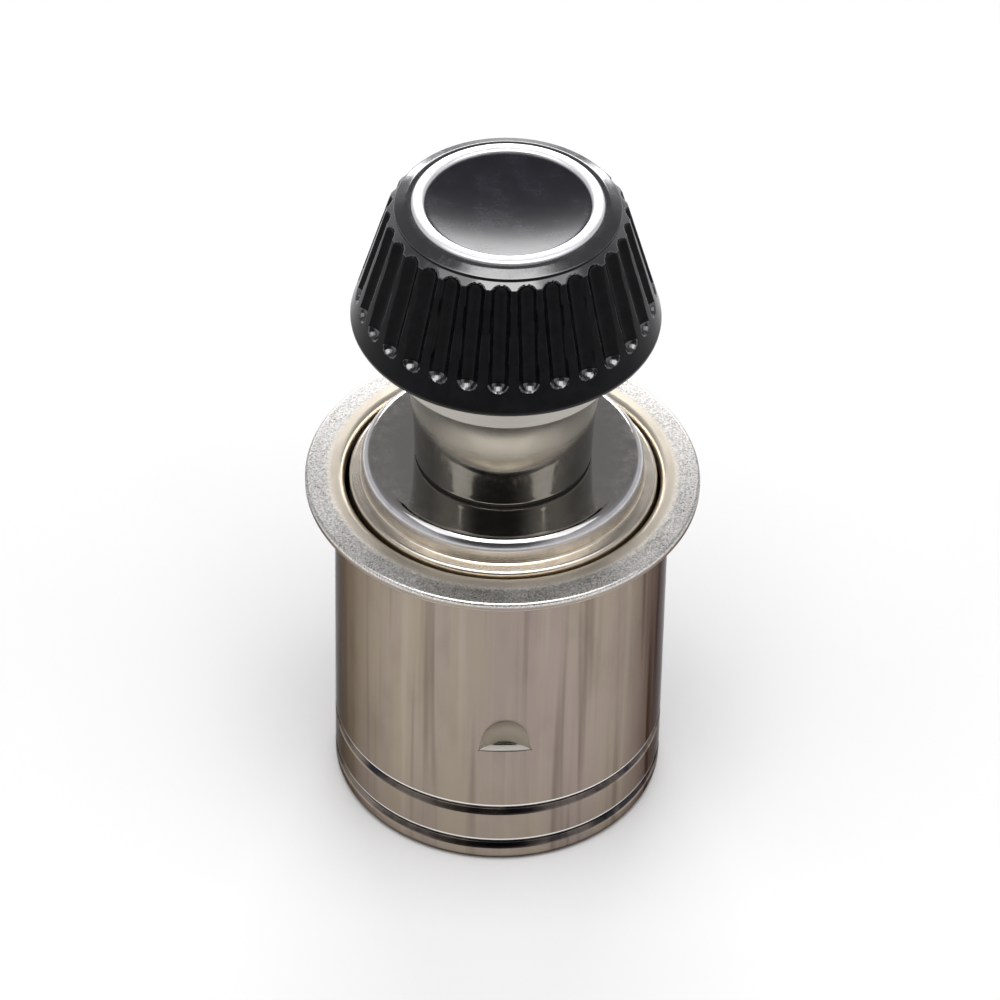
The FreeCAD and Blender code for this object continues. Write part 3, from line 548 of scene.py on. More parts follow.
def make_knob():
    """Cone, shoulder and platform on one lathe grid, lowered where the flute cutter passes."""
    pitch = 2 * np.pi / FLUTE_COUNT
    across = (np.arange(COLUMNS_PER_FLUTE) / COLUMNS_PER_FLUTE - 0.5) * pitch
    middles = np.radians(FLUTE_TURN) + np.arange(FLUTE_COUNT) * pitch
    angles = (middles[:, None] + across).ravel()
    sideways = knob_profile[:, :1] * np.sin(np.tile(across, FLUTE_COUNT))
    along = ((knob_profile - flank_foot) @ flank_way)[:, None]
    out = ((knob_profile - flank_foot) @ flank_out)[:, None]
    low_ball = FLUTE_FOOT + FLUTE_RADIUS
    high_ball = flank_length - FLUTE_TOP_GAP
    miss = np.maximum(np.maximum(low_ball - along, along - high_ball), 0)
    room = np.maximum(FLUTE_RADIUS ** 2 - sideways ** 2 - miss ** 2, 0)
    cutter = FLUTE_RADIUS - FLUTE_DEPTH - np.sqrt(room)
    lowered = soft_lower(np.broadcast_to(out, cutter.shape), cutter, FLUTE_SOFT) - out
    lowered = np.where(room > 0, lowered, 0)[..., None]
    points = carry_round(knob_profile, angles)
    push = np.stack([flank_out[0] * np.cos(angles), flank_out[0] * np.sin(angles),
                     np.full(len(angles), flank_out[1])], axis=-1)
    quads = lathe_quads(len(knob_profile), len(angles), closed=False)
    return make_piece("fluted_knob", points + lowered * push, quads, "plunger", "knob")


fluted_knob = make_knob()

# %% [markdown]
# ## Trim on the knob
#
# A bright ring and a dished disc sit side by side in the recess. The disc's face is a shallow part
# of a sphere: its height falls from the edge to the middle with 1 - (radius / edge)^2.

# %% Bright ring and dished disc
RING_WIDTH = 0.82
DISH_DEPTH = 0.55
DISH_STEPS = 24

ring_bore = RING_RADIUS - RING_WIDTH
bright_ring = turned_piece("bright_ring", [
    (ring_bore, RECESS_LEVEL, 0),
    (RING_RADIUS, RECESS_LEVEL, 0),
    (RING_RADIUS, RING_TOP, 0.22),
    (ring_bore, RING_TOP, 0.22),
], "plunger", "knob_trim_ring", steps=7)

dish_radius = np.linspace(DISC_RADIUS, 0, DISH_STEPS)
dish_level = DISC_EDGE - DISH_DEPTH * (1 - (dish_radius / DISC_RADIUS) ** 2)
dish = np.column_stack([dish_radius, dish_level, np.zeros(DISH_STEPS)]).tolist()
dish[0][2] = 0.05
dished_disc = turned_piece("dished_disc", [
    (0, DISC_LOW, 0),
    (DISC_RADIUS, DISC_LOW, 0),
    *dish,
], "plunger", "knob_face_disc", closed=False, steps=4)

# %% [markdown]
# ## Return spring
#
# The spring is one wire wound in a helix with a closed turn at each end, ground flat where it sits.
# A ring of points is carried along the path, in the plane of the radius and the upright, and heights
# past the ground ends are held at the end's level. It stays on the shell.

# %% Wound wire spring
WIRE = 0.8
CLOSED_PITCH = 0.84
ACTIVE_TURNS = 6
RINGS_PER_TURN = 64
WIRE_SIDES = 14


def close_tube(rings, sides):
    """Faces of a tube of rings; a first and a last ring of no size close its ends."""
    row = np.arange(rings - 1)
    return quads_between(row, row + 1, np.arange(sides), sides)


def make_spring():
    """Wire carried along a helix: height grows by the closed or the open pitch for each turn."""
    start = SPRING_LOW + WIRE / 4
    stop = SPRING_TOP - WIRE / 4
    knots = [0, 1, 1 + ACTIVE_TURNS, 2 + ACTIVE_TURNS]
    heights = [start, start + CLOSED_PITCH, stop - CLOSED_PITCH, stop]
    turns = np.linspace(0, knots[-1], knots[-1] * RINGS_PER_TURN + 1)
    path_height = np.interp(turns, knots, heights)
    angle = 2 * np.pi * turns
    around = round_angles(WIRE_SIDES)
    size = np.full(len(turns), WIRE / 2)
    turns_in = np.concatenate([[0], np.arange(len(turns)), [len(turns) - 1]])
    size = np.concatenate([[0], size, [0]])[:, None]
    radius = SPRING_RADIUS - WIRE / 2 + size * np.cos(around)
    height = path_height[turns_in][:, None] + size * np.sin(around)
    height = np.clip(height, SPRING_LOW, SPRING_TOP)
    turned = angle[turns_in][:, None]
    points = np.stack([radius * np.cos(turned), radius * np.sin(turned), height], axis=-1)
    quads = close_tube(len(turns_in), WIRE_SIDES)[:, ::-1]
    return make_piece("wire_spring", points, quads, "shell", "return_spring")


wire_spring = make_spring()
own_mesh(wire_spring)

# %% [markdown]
# ## Heating element
#
# Seen from below, the element is a small steel cup with a flat ribbon wound in a spiral, from the
# head of a stud in the middle out to the cup's wall. The spiral's radius grows evenly with its angle.

# %% Cup and spiral ribbon
CUP_WALL = 0.4
CUP_HOLE = 2.5
RIBBON = 0.3
COIL_TURNS = 5
COIL_INNER = 1.98
COIL_STEPS = 72
COIL_GAP = 0.03
RIBBON_ROUND = 0.05

pressed_cup = turned_piece("pressed_cup", [
    (CUP_RADIUS - CUP_WALL, CUP_RIM, 0.1),
    (CUP_RADIUS, CUP_RIM, 0.1),
    (CUP_RADIUS, CUP_TOP, 0.5),
    (CUP_HOLE, CUP_TOP, 0.05),
    (CUP_HOLE, CUP_TOP - CUP_WALL, 0.05),
    (CUP_RADIUS - CUP_WALL, CUP_TOP - CUP_WALL, 0.15),
], "plunger", "element_cup")


def make_ribbon():
    """A rounded rectangle carried along r = inner + growth x turns."""
    outer = CUP_RADIUS - CUP_WALL - COIL_GAP - RIBBON / 2
    section = rounded_profile([
        (-RIBBON / 2, COIL_LOW, RIBBON_ROUND),
        (RIBBON / 2, COIL_LOW, RIBBON_ROUND),
        (RIBBON / 2, COIL_TOP, RIBBON_ROUND),
        (-RIBBON / 2, COIL_TOP, RIBBON_ROUND),
    ], steps=2)
    turns = np.linspace(0, COIL_TURNS, COIL_TURNS * COIL_STEPS + 1)
    place = np.concatenate([[0], np.arange(len(turns)), [len(turns) - 1]])
    swell = np.concatenate([[0], np.ones(len(turns)), [0]])[:, None]
    middle = (COIL_LOW + COIL_TOP) / 2
    radius = COIL_INNER + (outer - COIL_INNER) * turns[place][:, None] / COIL_TURNS
    radius = radius + swell * section[:, 0]
    height = middle + swell * (section[:, 1] - middle)
    angle = 2 * np.pi * turns[place][:, None]
    points = np.stack([radius * np.cos(angle), radius * np.sin(angle), height], axis=-1)
    quads = close_tube(len(place), len(section))[:, ::-1]
    return make_piece("spiral_ribbon", points, quads, "plunger", "heating_coil")


spiral_ribbon = make_ribbon()

# %% [markdown]
# ## Finishes
#
# Each finish is a node material on Object coordinates, so its grain has a real size in millimetres
# and stays with the piece when it moves. Small helpers keep the node trees short: a grain is a noise
# with a blotch size that can be longer along one axis, and a span turns one number into another.

# %% Node helpers


def new_finish(name):
    """Start a material; return it, its node tree and its shader."""
    material = bpy.data.materials.new(name)
    material.use_nodes = True
    return material, material.node_tree, material.node_tree.nodes["Principled BSDF"]


def add_node(tree, kind, inputs=None, **settings):
    """Add a node, set its properties, then set or link its inputs."""
    node = tree.nodes.new(kind)
    for key, value in settings.items():
        setattr(node, key, value)
    for key, value in (inputs or {}).items():
        if isinstance(value, bpy.types.NodeSocket):
            tree.links.new(value, node.inputs[key])
        else:
            node.inputs[key].default_value = value
    return node


def object_place(tree):
    """Object coordinates of the surface point."""
    return add_node(tree, "ShaderNodeTexCoord").outputs["Object"]


def grain(tree, blotch, stretch=(1, 1, 1), detail=4.0, roughness=0.55):
    """Noise whose blotches are so many millimetres wide, longer along the stretched axes."""
    scale = [1 / (blotch * MM * axis) for axis in stretch]
    place = add_node(tree, "ShaderNodeMapping", {"Vector": object_place(tree), "Scale": scale})
    noise = add_node(tree, "ShaderNodeTexNoise", {
        "Vector": place.outputs[0], "Scale": 1.0, "Detail": detail, "Roughness": roughness})
    return noise.outputs[0]


def work(tree, operation, *values):
    """Carry one operation through a row of numbers: a product, a sum or the largest."""
    total = values[0]
    for value in values[1:]:
        total = add_node(tree, "ShaderNodeMath", {0: total, 1: value}, operation=operation).outputs[0]
    return total


def times(tree, *values):
    """Product of a row of numbers."""
    return work(tree, "MULTIPLY", *values)


# %% Ranges, zones and colours


def span(tree, value, low, high, start, stop):
    """Carry a number smoothly from one range to another, held at both ends."""
    node = add_node(tree, "ShaderNodeMapRange", {
        "Value": value, "From Min": low, "From Max": high, "To Min": start, "To Max": stop},
        interpolation_type="SMOOTHSTEP")
    return node.outputs[0]


def zone(tree, value, edges):
    """None before the first edge and all past the second, easing between; edges in millimetres."""
    return span(tree, value, edges[0] * MM, edges[1] * MM, 0, 1)


def band(tree, value, middle, half, soft):
    """One within half of a middle value, easing to nothing over a soft edge, in millimetres."""
    away = work(tree, "ABSOLUTE", work(tree, "SUBTRACT", value, middle * MM), 0.0)
    return span(tree, away, half * MM, (half + soft) * MM, 1, 0)


def shade(tree, factor, first, second):
    """Mix two colours by a factor; each may be a link."""
    mix = add_node(tree, "ShaderNodeMix", {0: factor, 6: first, 7: second}, data_type="RGBA")
    return mix.outputs[2]


def height_of(tree):
    """Height of the surface point above the foot, in metres."""
    return add_node(tree, "ShaderNodeSeparateXYZ", {0: object_place(tree)}).outputs["Z"]


def radius_of(tree):
    """Distance of the surface point from the Z axis, in metres."""
    flat = add_node(tree, "ShaderNodeVectorMath", {0: object_place(tree), 1: (1, 1, 0)},
                    operation="MULTIPLY").outputs[0]
    return add_node(tree, "ShaderNodeVectorMath", {0: flat}, operation="LENGTH").outputs["Value"]


# %% Shader helpers


def emboss(tree, shader, height, depth):
    """Bump the surface by a height from 0 to 1 that stands for a depth in millimetres."""
    bump = add_node(tree, "ShaderNodeBump", {
        "Height": height, "Distance": depth * MM, "Strength": 1.0})
    tree.links.new(bump.outputs[0], shader.inputs["Normal"])


def drive(tree, shader, **links):
    """Link computed values to the shader's sockets."""
    for key, socket in links.items():
        tree.links.new(socket, shader.inputs[key.replace("_", " ").title()])


def dress(piece, material):
    """Give a piece its finish as its only material."""
    piece.data.materials.clear()
    piece.data.materials.append(material)
    print(piece.name, "dressed in", material.name)


# %% [markdown]
# ### Nickel plate of the shell
#
# The shell was drawn through a die and plated bright: a warm mirror with faint upright draw lines,
# upright dark and pale bands painted in as streaky reflections, and slight stains. The lower slope
# of each groove is painted dark as a reflection, the upper rims and the sheared lips carry painted
# highlights, and the tongues are painted paler as painted light. The flange is finely blasted, and
# the turned mouth is smooth and warmer. Painted maps could carry this, but height and radius tell
# the zones apart with no unwrapping. The rest of what the wall mirrors is left to the lights.

# %% Marks on the shell
OLIVE_NICKEL = (0.350, 0.295, 0.232, 1)
ROSE_NICKEL = (0.338, 0.276, 0.242, 1)
# The pale tone lightens the draw lines and paints pale reflection streaks; the dark tone darkens the
# stains and paints dark reflection streaks.
PALE_LINE_AND_STREAK = (0.420, 0.368, 0.296, 1)
DARK_STAIN_AND_STREAK = (0.050, 0.034, 0.020, 1)
RIM_LIFT = 0.34
RIM_HALF = 0.13
RIM_SOFT = 0.06
GROOVE_DARK_DROP = 0.14
FLANGE_CORNER = (11.9, 12.0)
PRESSED_IN = (10.38, 10.25)


def groove_painted_reflection(tree, height):
    """Painted dark reflection on the lower slope of each groove all the way round, thicker in some
    places.
    """
    lows = [band(tree, height, level - GROOVE_DARK_DROP, 0.13, 0.08) for level in GROOVE_LEVELS]
    thick = span(tree, grain(tree, 3.0, detail=3), 0.35, 0.65, 0.45, 0.95)
    return times(tree, work(tree, "MAXIMUM", *lows), thick)


def pressed_tongue_zone(tree, height, radius):
    """The pressed-in tongues and the lips under them, where a paler colour is painted as painted
    light.
    """
    risen = band(tree, height, LANCE_LEVEL + 1.4, 1.5, 0.1)
    return times(tree, zone(tree, radius, PRESSED_IN), risen)


def painted_edge_highlight(tree, height, radius):
    """Painted highlight lines on the upper rim of each groove and the lower corner of the flange."""
    rims = [band(tree, height, level + RIM_LIFT, RIM_HALF, RIM_SOFT) for level in GROOVE_LEVELS]
    low = band(tree, height, FLANGE_UNDER + 0.06, 0.06, 0.05)
    return work(tree, "MAXIMUM", *rims, times(tree, low, zone(tree, radius, FLANGE_CORNER)))


def drawn_nickel(tree, radius, draw, stain):
    """Colour of the drawn wall: two warm tints, draw lines, stains and upright bands of painted
    reflection.
    """
    tint = grain(tree, 3.5, (1, 1, 8), detail=2)
    reflection_streak = grain(tree, 1.1, (1, 1, 40), detail=2)
    on_wall = band(tree, radius, SHELL_RADIUS - 0.1, 0.25, 0.1)
    # Upright dark and pale bands painted into the colour all round the wall as streaky reflections.
    painted_dark_streak = times(tree, on_wall, span(tree, reflection_streak, 0.52, 0.70, 0, 0.45))
    painted_pale_streak = times(tree, on_wall, span(tree, reflection_streak, 0.46, 0.30, 0, 0.50))
    drawn = shade(tree, span(tree, tint, 0.38, 0.62, 0, 1), OLIVE_NICKEL, ROSE_NICKEL)
    drawn = shade(tree, span(tree, draw, 0.3, 0.7, 0, 0.14), drawn, PALE_LINE_AND_STREAK)
    drawn = shade(tree, span(tree, stain, 0.45, 0.75, 0, 0.13), drawn, DARK_STAIN_AND_STREAK)
    drawn = shade(tree, painted_dark_streak, drawn, DARK_STAIN_AND_STREAK)
    return shade(tree, painted_pale_streak, drawn, PALE_LINE_AND_STREAK)


# %% Shell nickel
# Near black painted on the lower slope of each groove as a dark reflection.
GROOVE_PAINTED_DARK = (0.012, 0.014, 0.022, 1)
# Near white painted as highlight lines on the groove rims, the flange's lower corner and the sheared
# lips.
PAINTED_HIGHLIGHT = (0.93, 0.92, 0.90, 1)
# Paler tone painted on the pressed-in tongues as painted light.
PAINTED_TONGUE_LIGHT = (0.48, 0.43, 0.36, 1)
WARM_MOUTH = (0.84, 0.76, 0.64, 1)
BLASTED_DARK = (0.48, 0.465, 0.44, 1)
BLASTED_PALE = (0.93, 0.91, 0.88, 1)
EDGE_TINT = (0.22, 0.21, 0.22, 1)
FLANGE_HEIGHTS = (23.05, 23.25)
FLANGE_REACH = (10.45, 11.15)
MOUTH_HEIGHTS = (22.4, 22.8)
MOUTH_REACH = (11.15, 10.8)


def shell_nickel():
    """Warm drawn nickel with painted highlights and painted reflection streaks, a blasted flange and
    a warm mouth.
    """
    material, tree, shader = new_finish("shell_nickel")
    height, radius = height_of(tree), radius_of(tree)
    draw = grain(tree, 0.14, (1, 1, 60), detail=3)
    stain = grain(tree, 2.2, (1, 1, 2.5), detail=5)
    speck = grain(tree, 0.13, detail=5, roughness=0.7)
    on_flange = times(tree, zone(tree, height, FLANGE_HEIGHTS), zone(tree, radius, FLANGE_REACH))
    on_mouth = times(tree, zone(tree, height, MOUTH_HEIGHTS), zone(tree, radius, MOUTH_REACH))
    tongue = pressed_tongue_zone(tree, height, radius)
    # The top face of each sheared lip is painted as a highlight.
    lip = times(tree, tongue, band(tree, height, LANCE_LEVEL, 0.02, 0.02))
    blasted = shade(tree, span(tree, speck, 0.35, 0.65, 0, 1), BLASTED_DARK, BLASTED_PALE)
    colour = drawn_nickel(tree, radius, draw, stain)
    for factor, tone in (
        # painted dark reflection in the grooves
        (groove_painted_reflection(tree, height), GROOVE_PAINTED_DARK),
        # painted highlights on the groove rims and the flange's lower corner
        (painted_edge_highlight(tree, height, radius), PAINTED_HIGHLIGHT),
        # painted light on the tongues
        (tongue, PAINTED_TONGUE_LIGHT),
        # painted highlight on the sheared lips
        (lip, PAINTED_HIGHLIGHT),
        (on_mouth, WARM_MOUTH),
        (on_flange, blasted),
    ):
        colour = shade(tree, factor, colour, tone)
    rough = work(
        tree, "ADD",
        span(tree, draw, 0.3, 0.75, 0.12, 0.19),
        span(tree, stain, 0.4, 0.75, 0, 0.06),
        times(tree, on_flange, span(tree, speck, 0.3, 0.7, 0.12, 0.22)),
        times(tree, on_mouth, 0.18),
        times(tree, tongue, 0.15),
        times(tree, lip, 0.6),
    )
    drive(tree, shader, base_color=colour, roughness=rough)
    relief = work(tree, "ADD", times(tree, draw, 0.08), times(tree, speck, on_flange))
    emboss(tree, shader, relief, 0.012)
    shader.inputs["Metallic"].default_value = 1.0
    shader.inputs["Specular Tint"].default_value = EDGE_TINT
    return material


dress(drawn_shell, shell_nickel())

# %% [markdown]
# ### Nickel plate of the barrel and the collar
#
# The barrel's top is polished, with clouded patches towards its rim, and its ledge is satin and
# warmer. The collar is polished at the foot of the neck and satin on the flare, which is painted
# paler than the neck as painted light, with faint turning lines. One shader for each piece, with
# height and radius as its guide, keeps the change soft.

# %% Barrel nickel
PLATE_DARK = (0.50, 0.48, 0.45, 1)
PLATE_PALE = (0.62, 0.59, 0.55, 1)
LEDGE_WARM = (0.82, 0.75, 0.64, 1)
LEDGE_BROWN = (0.71, 0.645, 0.55, 1)
RIM_PALE = (0.70, 0.69, 0.70, 1)
RIM_GREY = (0.62, 0.61, 0.62, 1)
PLATE_HEIGHTS = (25.15, 25.28)
RIM_HEIGHTS = (24.0, 24.4)
SATIN_HEIGHTS = (25.2, 24.9)
PATCH_REACH = (5.8, 8.2)


def barrel_nickel():
    """Polished plate with clouded patches on top, satin and warm on the ledge."""
    material, tree, shader = new_finish("barrel_nickel")
    height = height_of(tree)
    cloud = grain(tree, 0.8, detail=6, roughness=0.65)
    speck = grain(tree, 0.13, detail=4, roughness=0.7)
    on_plate = zone(tree, height, PLATE_HEIGHTS)
    outward = span(tree, radius_of(tree), PATCH_REACH[0] * MM, PATCH_REACH[1] * MM, 0.15, 1)
    patch = times(tree, span(tree, cloud, 0.30, 0.70, 0, 1), outward,
                  span(tree, speck, 0.30, 0.70, 0.5, 1))
    cloudy = span(tree, cloud, 0.35, 0.7, 0, 1)
    ledge = shade(tree, cloudy, LEDGE_WARM, LEDGE_BROWN)
    rim = shade(tree, cloudy, RIM_PALE, RIM_GREY)
    side = shade(tree, zone(tree, height, RIM_HEIGHTS), ledge, rim)
    plate = shade(tree, patch, PLATE_DARK, PLATE_PALE)
    rough = work(
        tree, "ADD",
        span(tree, speck, 0.3, 0.7, 0.04, 0.07),
        times(tree, zone(tree, height, SATIN_HEIGHTS), 0.20),
        times(tree, patch, on_plate, 0.14),
    )
    drive(tree, shader, base_color=shade(tree, on_plate, side, plate), roughness=rough)
    emboss(tree, shader, times(tree, speck, patch), 0.001)
    shader.inputs["Metallic"].default_value = 1.0
    return material


dress(stepped_barrel, barrel_nickel())

# %% Collar nickel
NECK_PALE = (0.31, 0.30, 0.275, 1)
NECK_DARK = (0.26, 0.25, 0.225, 1)
# Paler tone painted on the flare as painted light.
FLARE_PAINTED_LIGHT = (0.45, 0.43, 0.39, 1)
TURNED_LINE = (0.40, 0.38, 0.34, 1)
FLARE_HEIGHTS = (28.8, 30.4)
FLARE_SATIN = (28.4, 30.2)


def collar_nickel():
    """Polished neck and satin flare painted paler as painted light, with turning lines round the axis
    and a few smudges.
    """
    material, tree, shader = new_finish("collar_nickel")
    height = height_of(tree)
    ring = grain(tree, 0.09, (50, 50, 1), detail=3)
    smudge = grain(tree, 1.6, detail=5)
    colour = shade(tree, span(tree, smudge, 0.35, 0.7, 0, 1), NECK_PALE, NECK_DARK)
    # The flare is painted paler than the neck as painted light.
    colour = shade(tree, zone(tree, height, FLARE_HEIGHTS), colour, FLARE_PAINTED_LIGHT)
    colour = shade(tree, span(tree, ring, 0.3, 0.7, 0, 0.25), colour, TURNED_LINE)
    rough = span(tree, height, FLARE_SATIN[0] * MM, FLARE_SATIN[1] * MM, 0.045, 0.34)
    rough = work(tree, "ADD", rough, span(tree, smudge, 0.45, 0.75, 0, 0.04))
    drive(tree, shader, base_color=colour, roughness=rough)
    emboss(tree, shader, ring, 0.0002)
    shader.inputs["Metallic"].default_value = 1.0
    return material


dress(trumpet_collar, collar_nickel())

# %% [markdown]
# ### Black mouldings and the bright ring
#
# The knob is black plastic, a little uneven from the mould and from handling, with a trace of blue.
# Its flank keeps the low gloss of the mould, and the faces that look up carry a thicker lacquer. A
# mask could blend the two, but an export keeps a gloss level only where it is set on the shader, so
# each face gets one of two materials. The disc is smoother, and the ring is bright satin aluminium.

# %% Knob finishes
KNOB_DARK = (0.003, 0.003, 0.0036, 1)
KNOB_PALE = (0.006, 0.006, 0.0075, 1)
FLANK_GLOSS = (0.08, 1.5)
LACQUER_GLOSS = (1.0, 1.76)
LACQUER_FACING = 0.38


def knob_black(name, gloss_level, index):
    """Near-black plastic with a faint moulded ripple and handling marks."""
    material, tree, shader = new_finish(name)
    ripple = grain(tree, 0.9, detail=4)
    rub = grain(tree, 0.22, (1, 1, 5), detail=4, roughness=0.65)
    colour = shade(tree, span(tree, ripple, 0.35, 0.7, 0, 1), KNOB_DARK, KNOB_PALE)
    rough = work(tree, "ADD", span(tree, ripple, 0.35, 0.7, 0.12, 0.18),
                 span(tree, rub, 0.5, 0.75, 0, 0.10))
    drive(tree, shader, base_color=colour, roughness=rough)
    emboss(tree, shader, ripple, 0.005)
    shader.inputs["Specular IOR Level"].default_value = gloss_level
    shader.inputs["IOR"].default_value = index
    return material


def dress_knob(piece):
    """Moulded gloss on the flank, and thicker lacquer where it settled on what faces up."""
    dress(piece, knob_black("knob_black", *FLANK_GLOSS))
    piece.data.materials.append(knob_black("knob_top_lacquer", *LACQUER_GLOSS))
    facing = np.empty(len(piece.data.polygons) * 3)
    piece.data.polygons.foreach_get("normal", facing)
    on_top = facing[2::3] > LACQUER_FACING
    piece.data.polygons.foreach_set("material_index", on_top.astype(np.int32))
    print("knob faces with the top lacquer:", int(on_top.sum()))


dress_knob(fluted_knob)

# %% Disc and ring finishes
DISC_DARK = (0.006, 0.006, 0.010, 1)
DISC_DUSTY = (0.010, 0.010, 0.016, 1)
RING_COOL = (0.95, 0.955, 0.965, 1)
RING_WHITE = (0.98, 0.98, 0.985, 1)


def disc_black():
    """Polished black disc with a trace of blue and fine wiping marks."""
    material, tree, shader = new_finish("disc_black")
    wipe = grain(tree, 0.3, (6, 1, 1), detail=5, roughness=0.65)
    dust = grain(tree, 1.4, detail=5)
    colour = shade(tree, span(tree, dust, 0.4, 0.7, 0, 1), DISC_DARK, DISC_DUSTY)
    rough = work(tree, "ADD", span(tree, wipe, 0.2, 0.9, 0.235, 0.27),
                 span(tree, dust, 0.4, 0.8, 0, 0.05))
    drive(tree, shader, base_color=colour, roughness=rough)
    return material


def ring_bright():
    """Bright rolled ring: nearly white satin metal with fine lines round it."""
    material, tree, shader = new_finish("ring_bright")
    line = grain(tree, 0.05, (30, 30, 1), detail=3)
    tone = grain(tree, 1.2, detail=4)
    drive(tree, shader, base_color=shade(tree, tone, RING_COOL, RING_WHITE),
          roughness=span(tree, line, 0.3, 0.7, 0.40, 0.46))
    shader.inputs["Metallic"].default_value = 1.0
    return material


dress(dished_disc, disc_black())
dress(bright_ring, ring_bright())

# %% [markdown]
# ### Inside pieces
#
# The wire, cup, stud and nut are plain steels, the bush is brass and the washers are fibre, mica and
# ceramic. They differ in colour, gloss and grain, so one function with those numbers serves them all.

# %% Finishes of the inside pieces
EVEN = (1, 1, 1)
TURNED = (40, 40, 1)
METAL, NOT_METAL = 1.0, 0.0
INSIDE = {  # dark tone, light tone, blotch in mm, range of roughness, metal, stretch of the grain
    "spring_steel": ((0.34, 0.34, 0.35), (0.52, 0.52, 0.53), 0.3, (0.18, 0.3), METAL, EVEN),
    "dark_fibre": ((0.006, 0.006, 0.006), (0.016, 0.014, 0.013), 0.15, (0.5, 0.7), NOT_METAL, EVEN),
    "cup_steel": ((0.40, 0.38, 0.35), (0.58, 0.55, 0.51), 0.4, (0.2, 0.36), METAL, TURNED),
    "coil_ribbon": ((0.13, 0.12, 0.12), (0.27, 0.25, 0.24), 0.25, (0.35, 0.55), METAL, EVEN),
    "stud_steel": ((0.38, 0.37, 0.36), (0.56, 0.55, 0.53), 0.12, (0.2, 0.34), METAL, TURNED),
    "turned_steel": ((0.42, 0.42, 0.43), (0.60, 0.60, 0.61), 0.12, (0.2, 0.34), METAL, TURNED),
    "bush_brass": ((0.52, 0.36, 0.13), (0.74, 0.55, 0.25), 0.12, (0.18, 0.32), METAL, TURNED),
    "mica": ((0.42, 0.35, 0.25), (0.60, 0.52, 0.40), 0.5, (0.25, 0.45), NOT_METAL, EVEN),
    "white_ceramic": ((0.74, 0.71, 0.65), (0.86, 0.84, 0.79), 0.2, (0.5, 0.7), NOT_METAL, EVEN),
}


def plain_finish(name, dark, light, blotch, gloss, metal, stretch):
    """Two tones mixed by a grain, which also moves the roughness over the gloss range."""
    material, tree, shader = new_finish(name)
    tone = grain(tree, blotch, stretch, detail=5)
    colour = shade(tree, span(tree, tone, 0.35, 0.65, 0, 1), (*dark, 1), (*light, 1))
    drive(tree, shader, base_color=colour, roughness=span(tree, tone, 0.3, 0.7, *gloss))
    emboss(tree, shader, tone, 0.004)
    shader.inputs["Metallic"].default_value = metal
    return material


inside = {name: plain_finish(name, *row) for name, row in INSIDE.items()}
dress(wire_spring, inside["spring_steel"])
dress(fibre_washer, inside["dark_fibre"])
dress(pressed_cup, inside["cup_steel"])
dress(spiral_ribbon, inside["coil_ribbon"])
for row in frame["record"]["subparts"]:
    if row["material_slot"] in inside:
        dress(frame["nodes"][row["node"]], inside[row["material_slot"]])

# %% [markdown]
# ## Floor, light and camera
#
# The floor is a plain pale sheet. Bright metal shows what stands round it, so the light matters as
# much as the finish. A low box behind gives the satin zones and the dish their shine, a wide box
# overhead lights the floor, and a narrower one in front of it brings out the rims and the shadow.
# The room is dim on its front side, which keeps the black knob black.

# %% Floor
FLOOR_HALF = 0.6
FLOOR_DROP = 0.02 * MM
CARD_GREY = (0.90, 0.90, 0.90, 1)
CARD_PALE = (0.92, 0.92, 0.92, 1)


def make_floor():
    """A flat square of pale matt card with a trace of tone in it."""
    mesh = bpy.data.meshes.new("floor")
    corner = np.array([[-1, -1, 0], [1, -1, 0], [1, 1, 0], [-1, 1, 0]]) * FLOOR_HALF
    corner[:, 2] = -FLOOR_DROP
    mesh.from_pydata(corner.tolist(), [], [[0, 1, 2, 3]])
    floor = bpy.data.objects.new("floor", mesh)
    bpy.context.scene.collection.objects.link(floor)
    material, tree, shader = new_finish("pale_card")
    drive(tree, shader, base_color=shade(tree, grain(tree, 12.0, detail=3), CARD_GREY, CARD_PALE))
    shader.inputs["Roughness"].default_value = 0.9
    shader.inputs["Specular IOR Level"].default_value = 0.1
    dress(floor, material)
    print("floor of", 2 * FLOOR_HALF, "m square")


make_floor()

# %% Room
scene = bpy.context.scene
scene.view_settings.view_transform = "Standard"
ROOM_HIGH = (0.25, 0.25, 0.26, 1)
ROOM_FRONT = (0.42, 0.42, 0.43, 1)
ROOM_LOW = (0.60, 0.60, 0.62, 1)
DIM_TURN = math.radians(-6)
DIM_LIFT = math.radians(26)
DIM_CORE = math.cos(math.radians(20))
DIM_EDGE = math.cos(math.radians(48))
DIM_LEVEL = 0.10


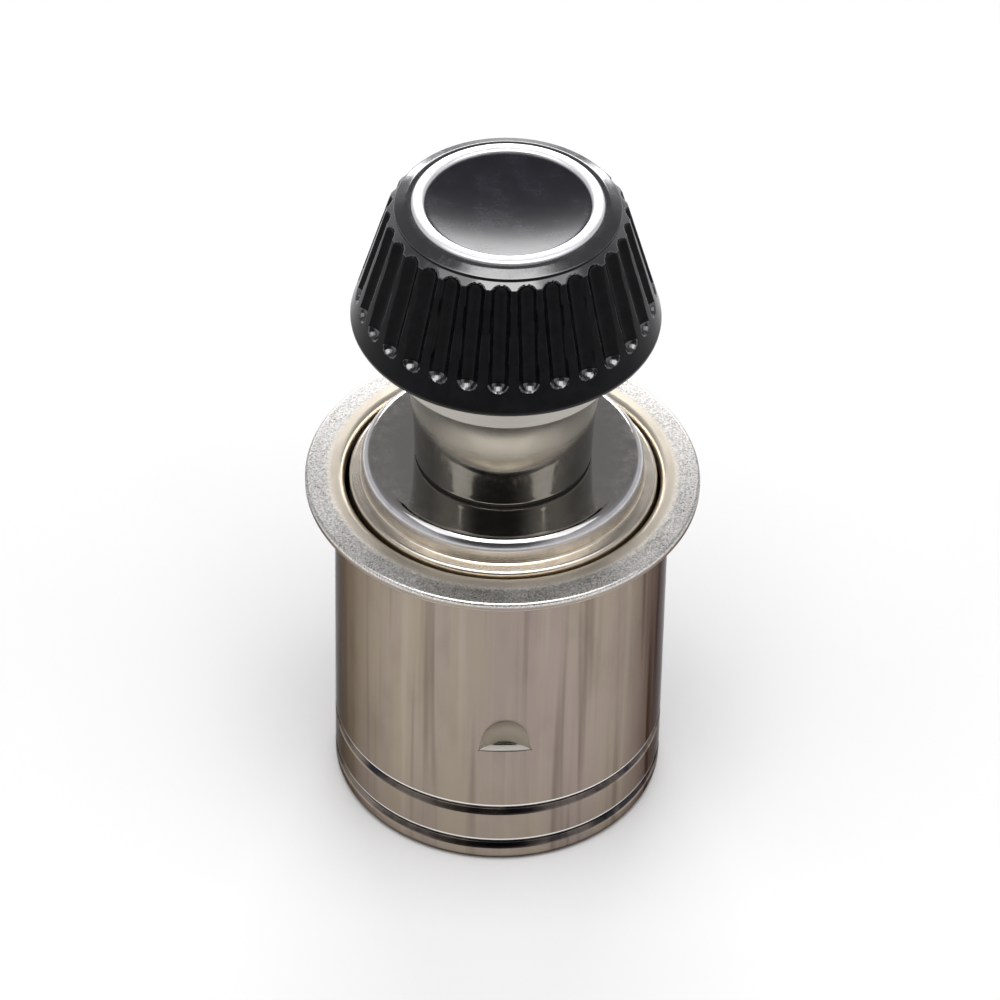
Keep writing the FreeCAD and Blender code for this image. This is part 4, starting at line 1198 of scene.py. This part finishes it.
def make_room():
    """Room: pale low down, greyer high up, and dim in a soft cone on the front side."""
    world = bpy.data.worlds.new("studio_room")
    world.use_nodes = True
    scene.world = world
    tree = world.node_tree
    way = add_node(tree, "ShaderNodeTexCoord").outputs["Generated"]
    parts = add_node(tree, "ShaderNodeSeparateXYZ", {0: way}).outputs
    high = shade(tree, span(tree, parts["Y"], -0.25, 0.25, 0, 1), ROOM_FRONT, ROOM_HIGH)
    room = shade(tree, span(tree, parts["Z"], 0.30, 0.52, 1, 0), high, ROOM_LOW)
    dim_way = (math.sin(DIM_TURN) * math.cos(DIM_LIFT),
               -math.cos(DIM_TURN) * math.cos(DIM_LIFT), math.sin(DIM_LIFT))
    towards = add_node(tree, "ShaderNodeVectorMath", {0: way, 1: dim_way}, operation="DOT_PRODUCT")
    dim = span(tree, towards.outputs["Value"], DIM_EDGE, DIM_CORE, 1, DIM_LEVEL)
    tree.links.new(room, tree.nodes["Background"].inputs["Color"])
    tree.links.new(dim, tree.nodes["Background"].inputs["Strength"])
    print("room:", world.name)


make_room()

# %% Lamps
AIM = (0, 0, 0.025)


def soft_box(name, place, width, height, power):
    """A rectangular lamp at a place, turned to face the aim point; sizes in metres."""
    lamp = bpy.data.lights.new(name, "AREA")
    lamp.shape = "RECTANGLE"
    lamp.size, lamp.size_y = width, height
    lamp.energy = power
    box = bpy.data.objects.new(name, lamp)
    scene.collection.objects.link(box)
    way = np.array(AIM) - np.array(place)
    level = math.hypot(way[0], way[1])
    box.location = place
    box.rotation_euler = (math.atan2(level, -way[2]), 0, math.atan2(-way[0], way[1]))
    print(name, "of", power, "W")


soft_box("back_box", (0, 0.62, 0.215), 0.44, 0.21, 1.95)
soft_box("top_box", (0, -0.121, 0.51), 0.92, 0.445, 1.32)
soft_box("key_box", (0, -0.118, 0.498), 0.34, 0.435, 1.2)

# %% [markdown]
# ### Camera
#
# The camera stands in front, about 41 degrees above the floor, with a long lens and a slight roll.
# Moving it aside would turn the part in the picture, so a small shift of the lens frames it instead.

# %% Camera
TARGET = np.array([0, 0, 20 * MM])
DISTANCE = 379.6 * MM
ELEVATION = math.radians(41.17)
ROLL = math.radians(1.18)
LENS = 219.2
SENSOR = 36
PICTURE = 1000
TARGET_PIXEL = (501.8, 514.1)

camera = bpy.data.objects.new("camera", bpy.data.cameras.new("camera"))
scene.collection.objects.link(camera)
scene.camera = camera
camera.data.lens = LENS
camera.data.sensor_width = SENSOR
camera.data.shift_x = (PICTURE / 2 - TARGET_PIXEL[0]) / PICTURE
camera.data.shift_y = (TARGET_PIXEL[1] - PICTURE / 2) / PICTURE
camera.data.clip_start = 0.01
camera.location = TARGET + DISTANCE * np.array([0, -math.cos(ELEVATION), math.sin(ELEVATION)])
camera.rotation_mode = "QUATERNION"
tilt = Euler((math.pi / 2 - ELEVATION, 0, 0)).to_quaternion()
camera.rotation_quaternion = tilt @ Quaternion((0, 0, 1), ROLL)
print("camera at", [round(value, 4) for value in camera.location])
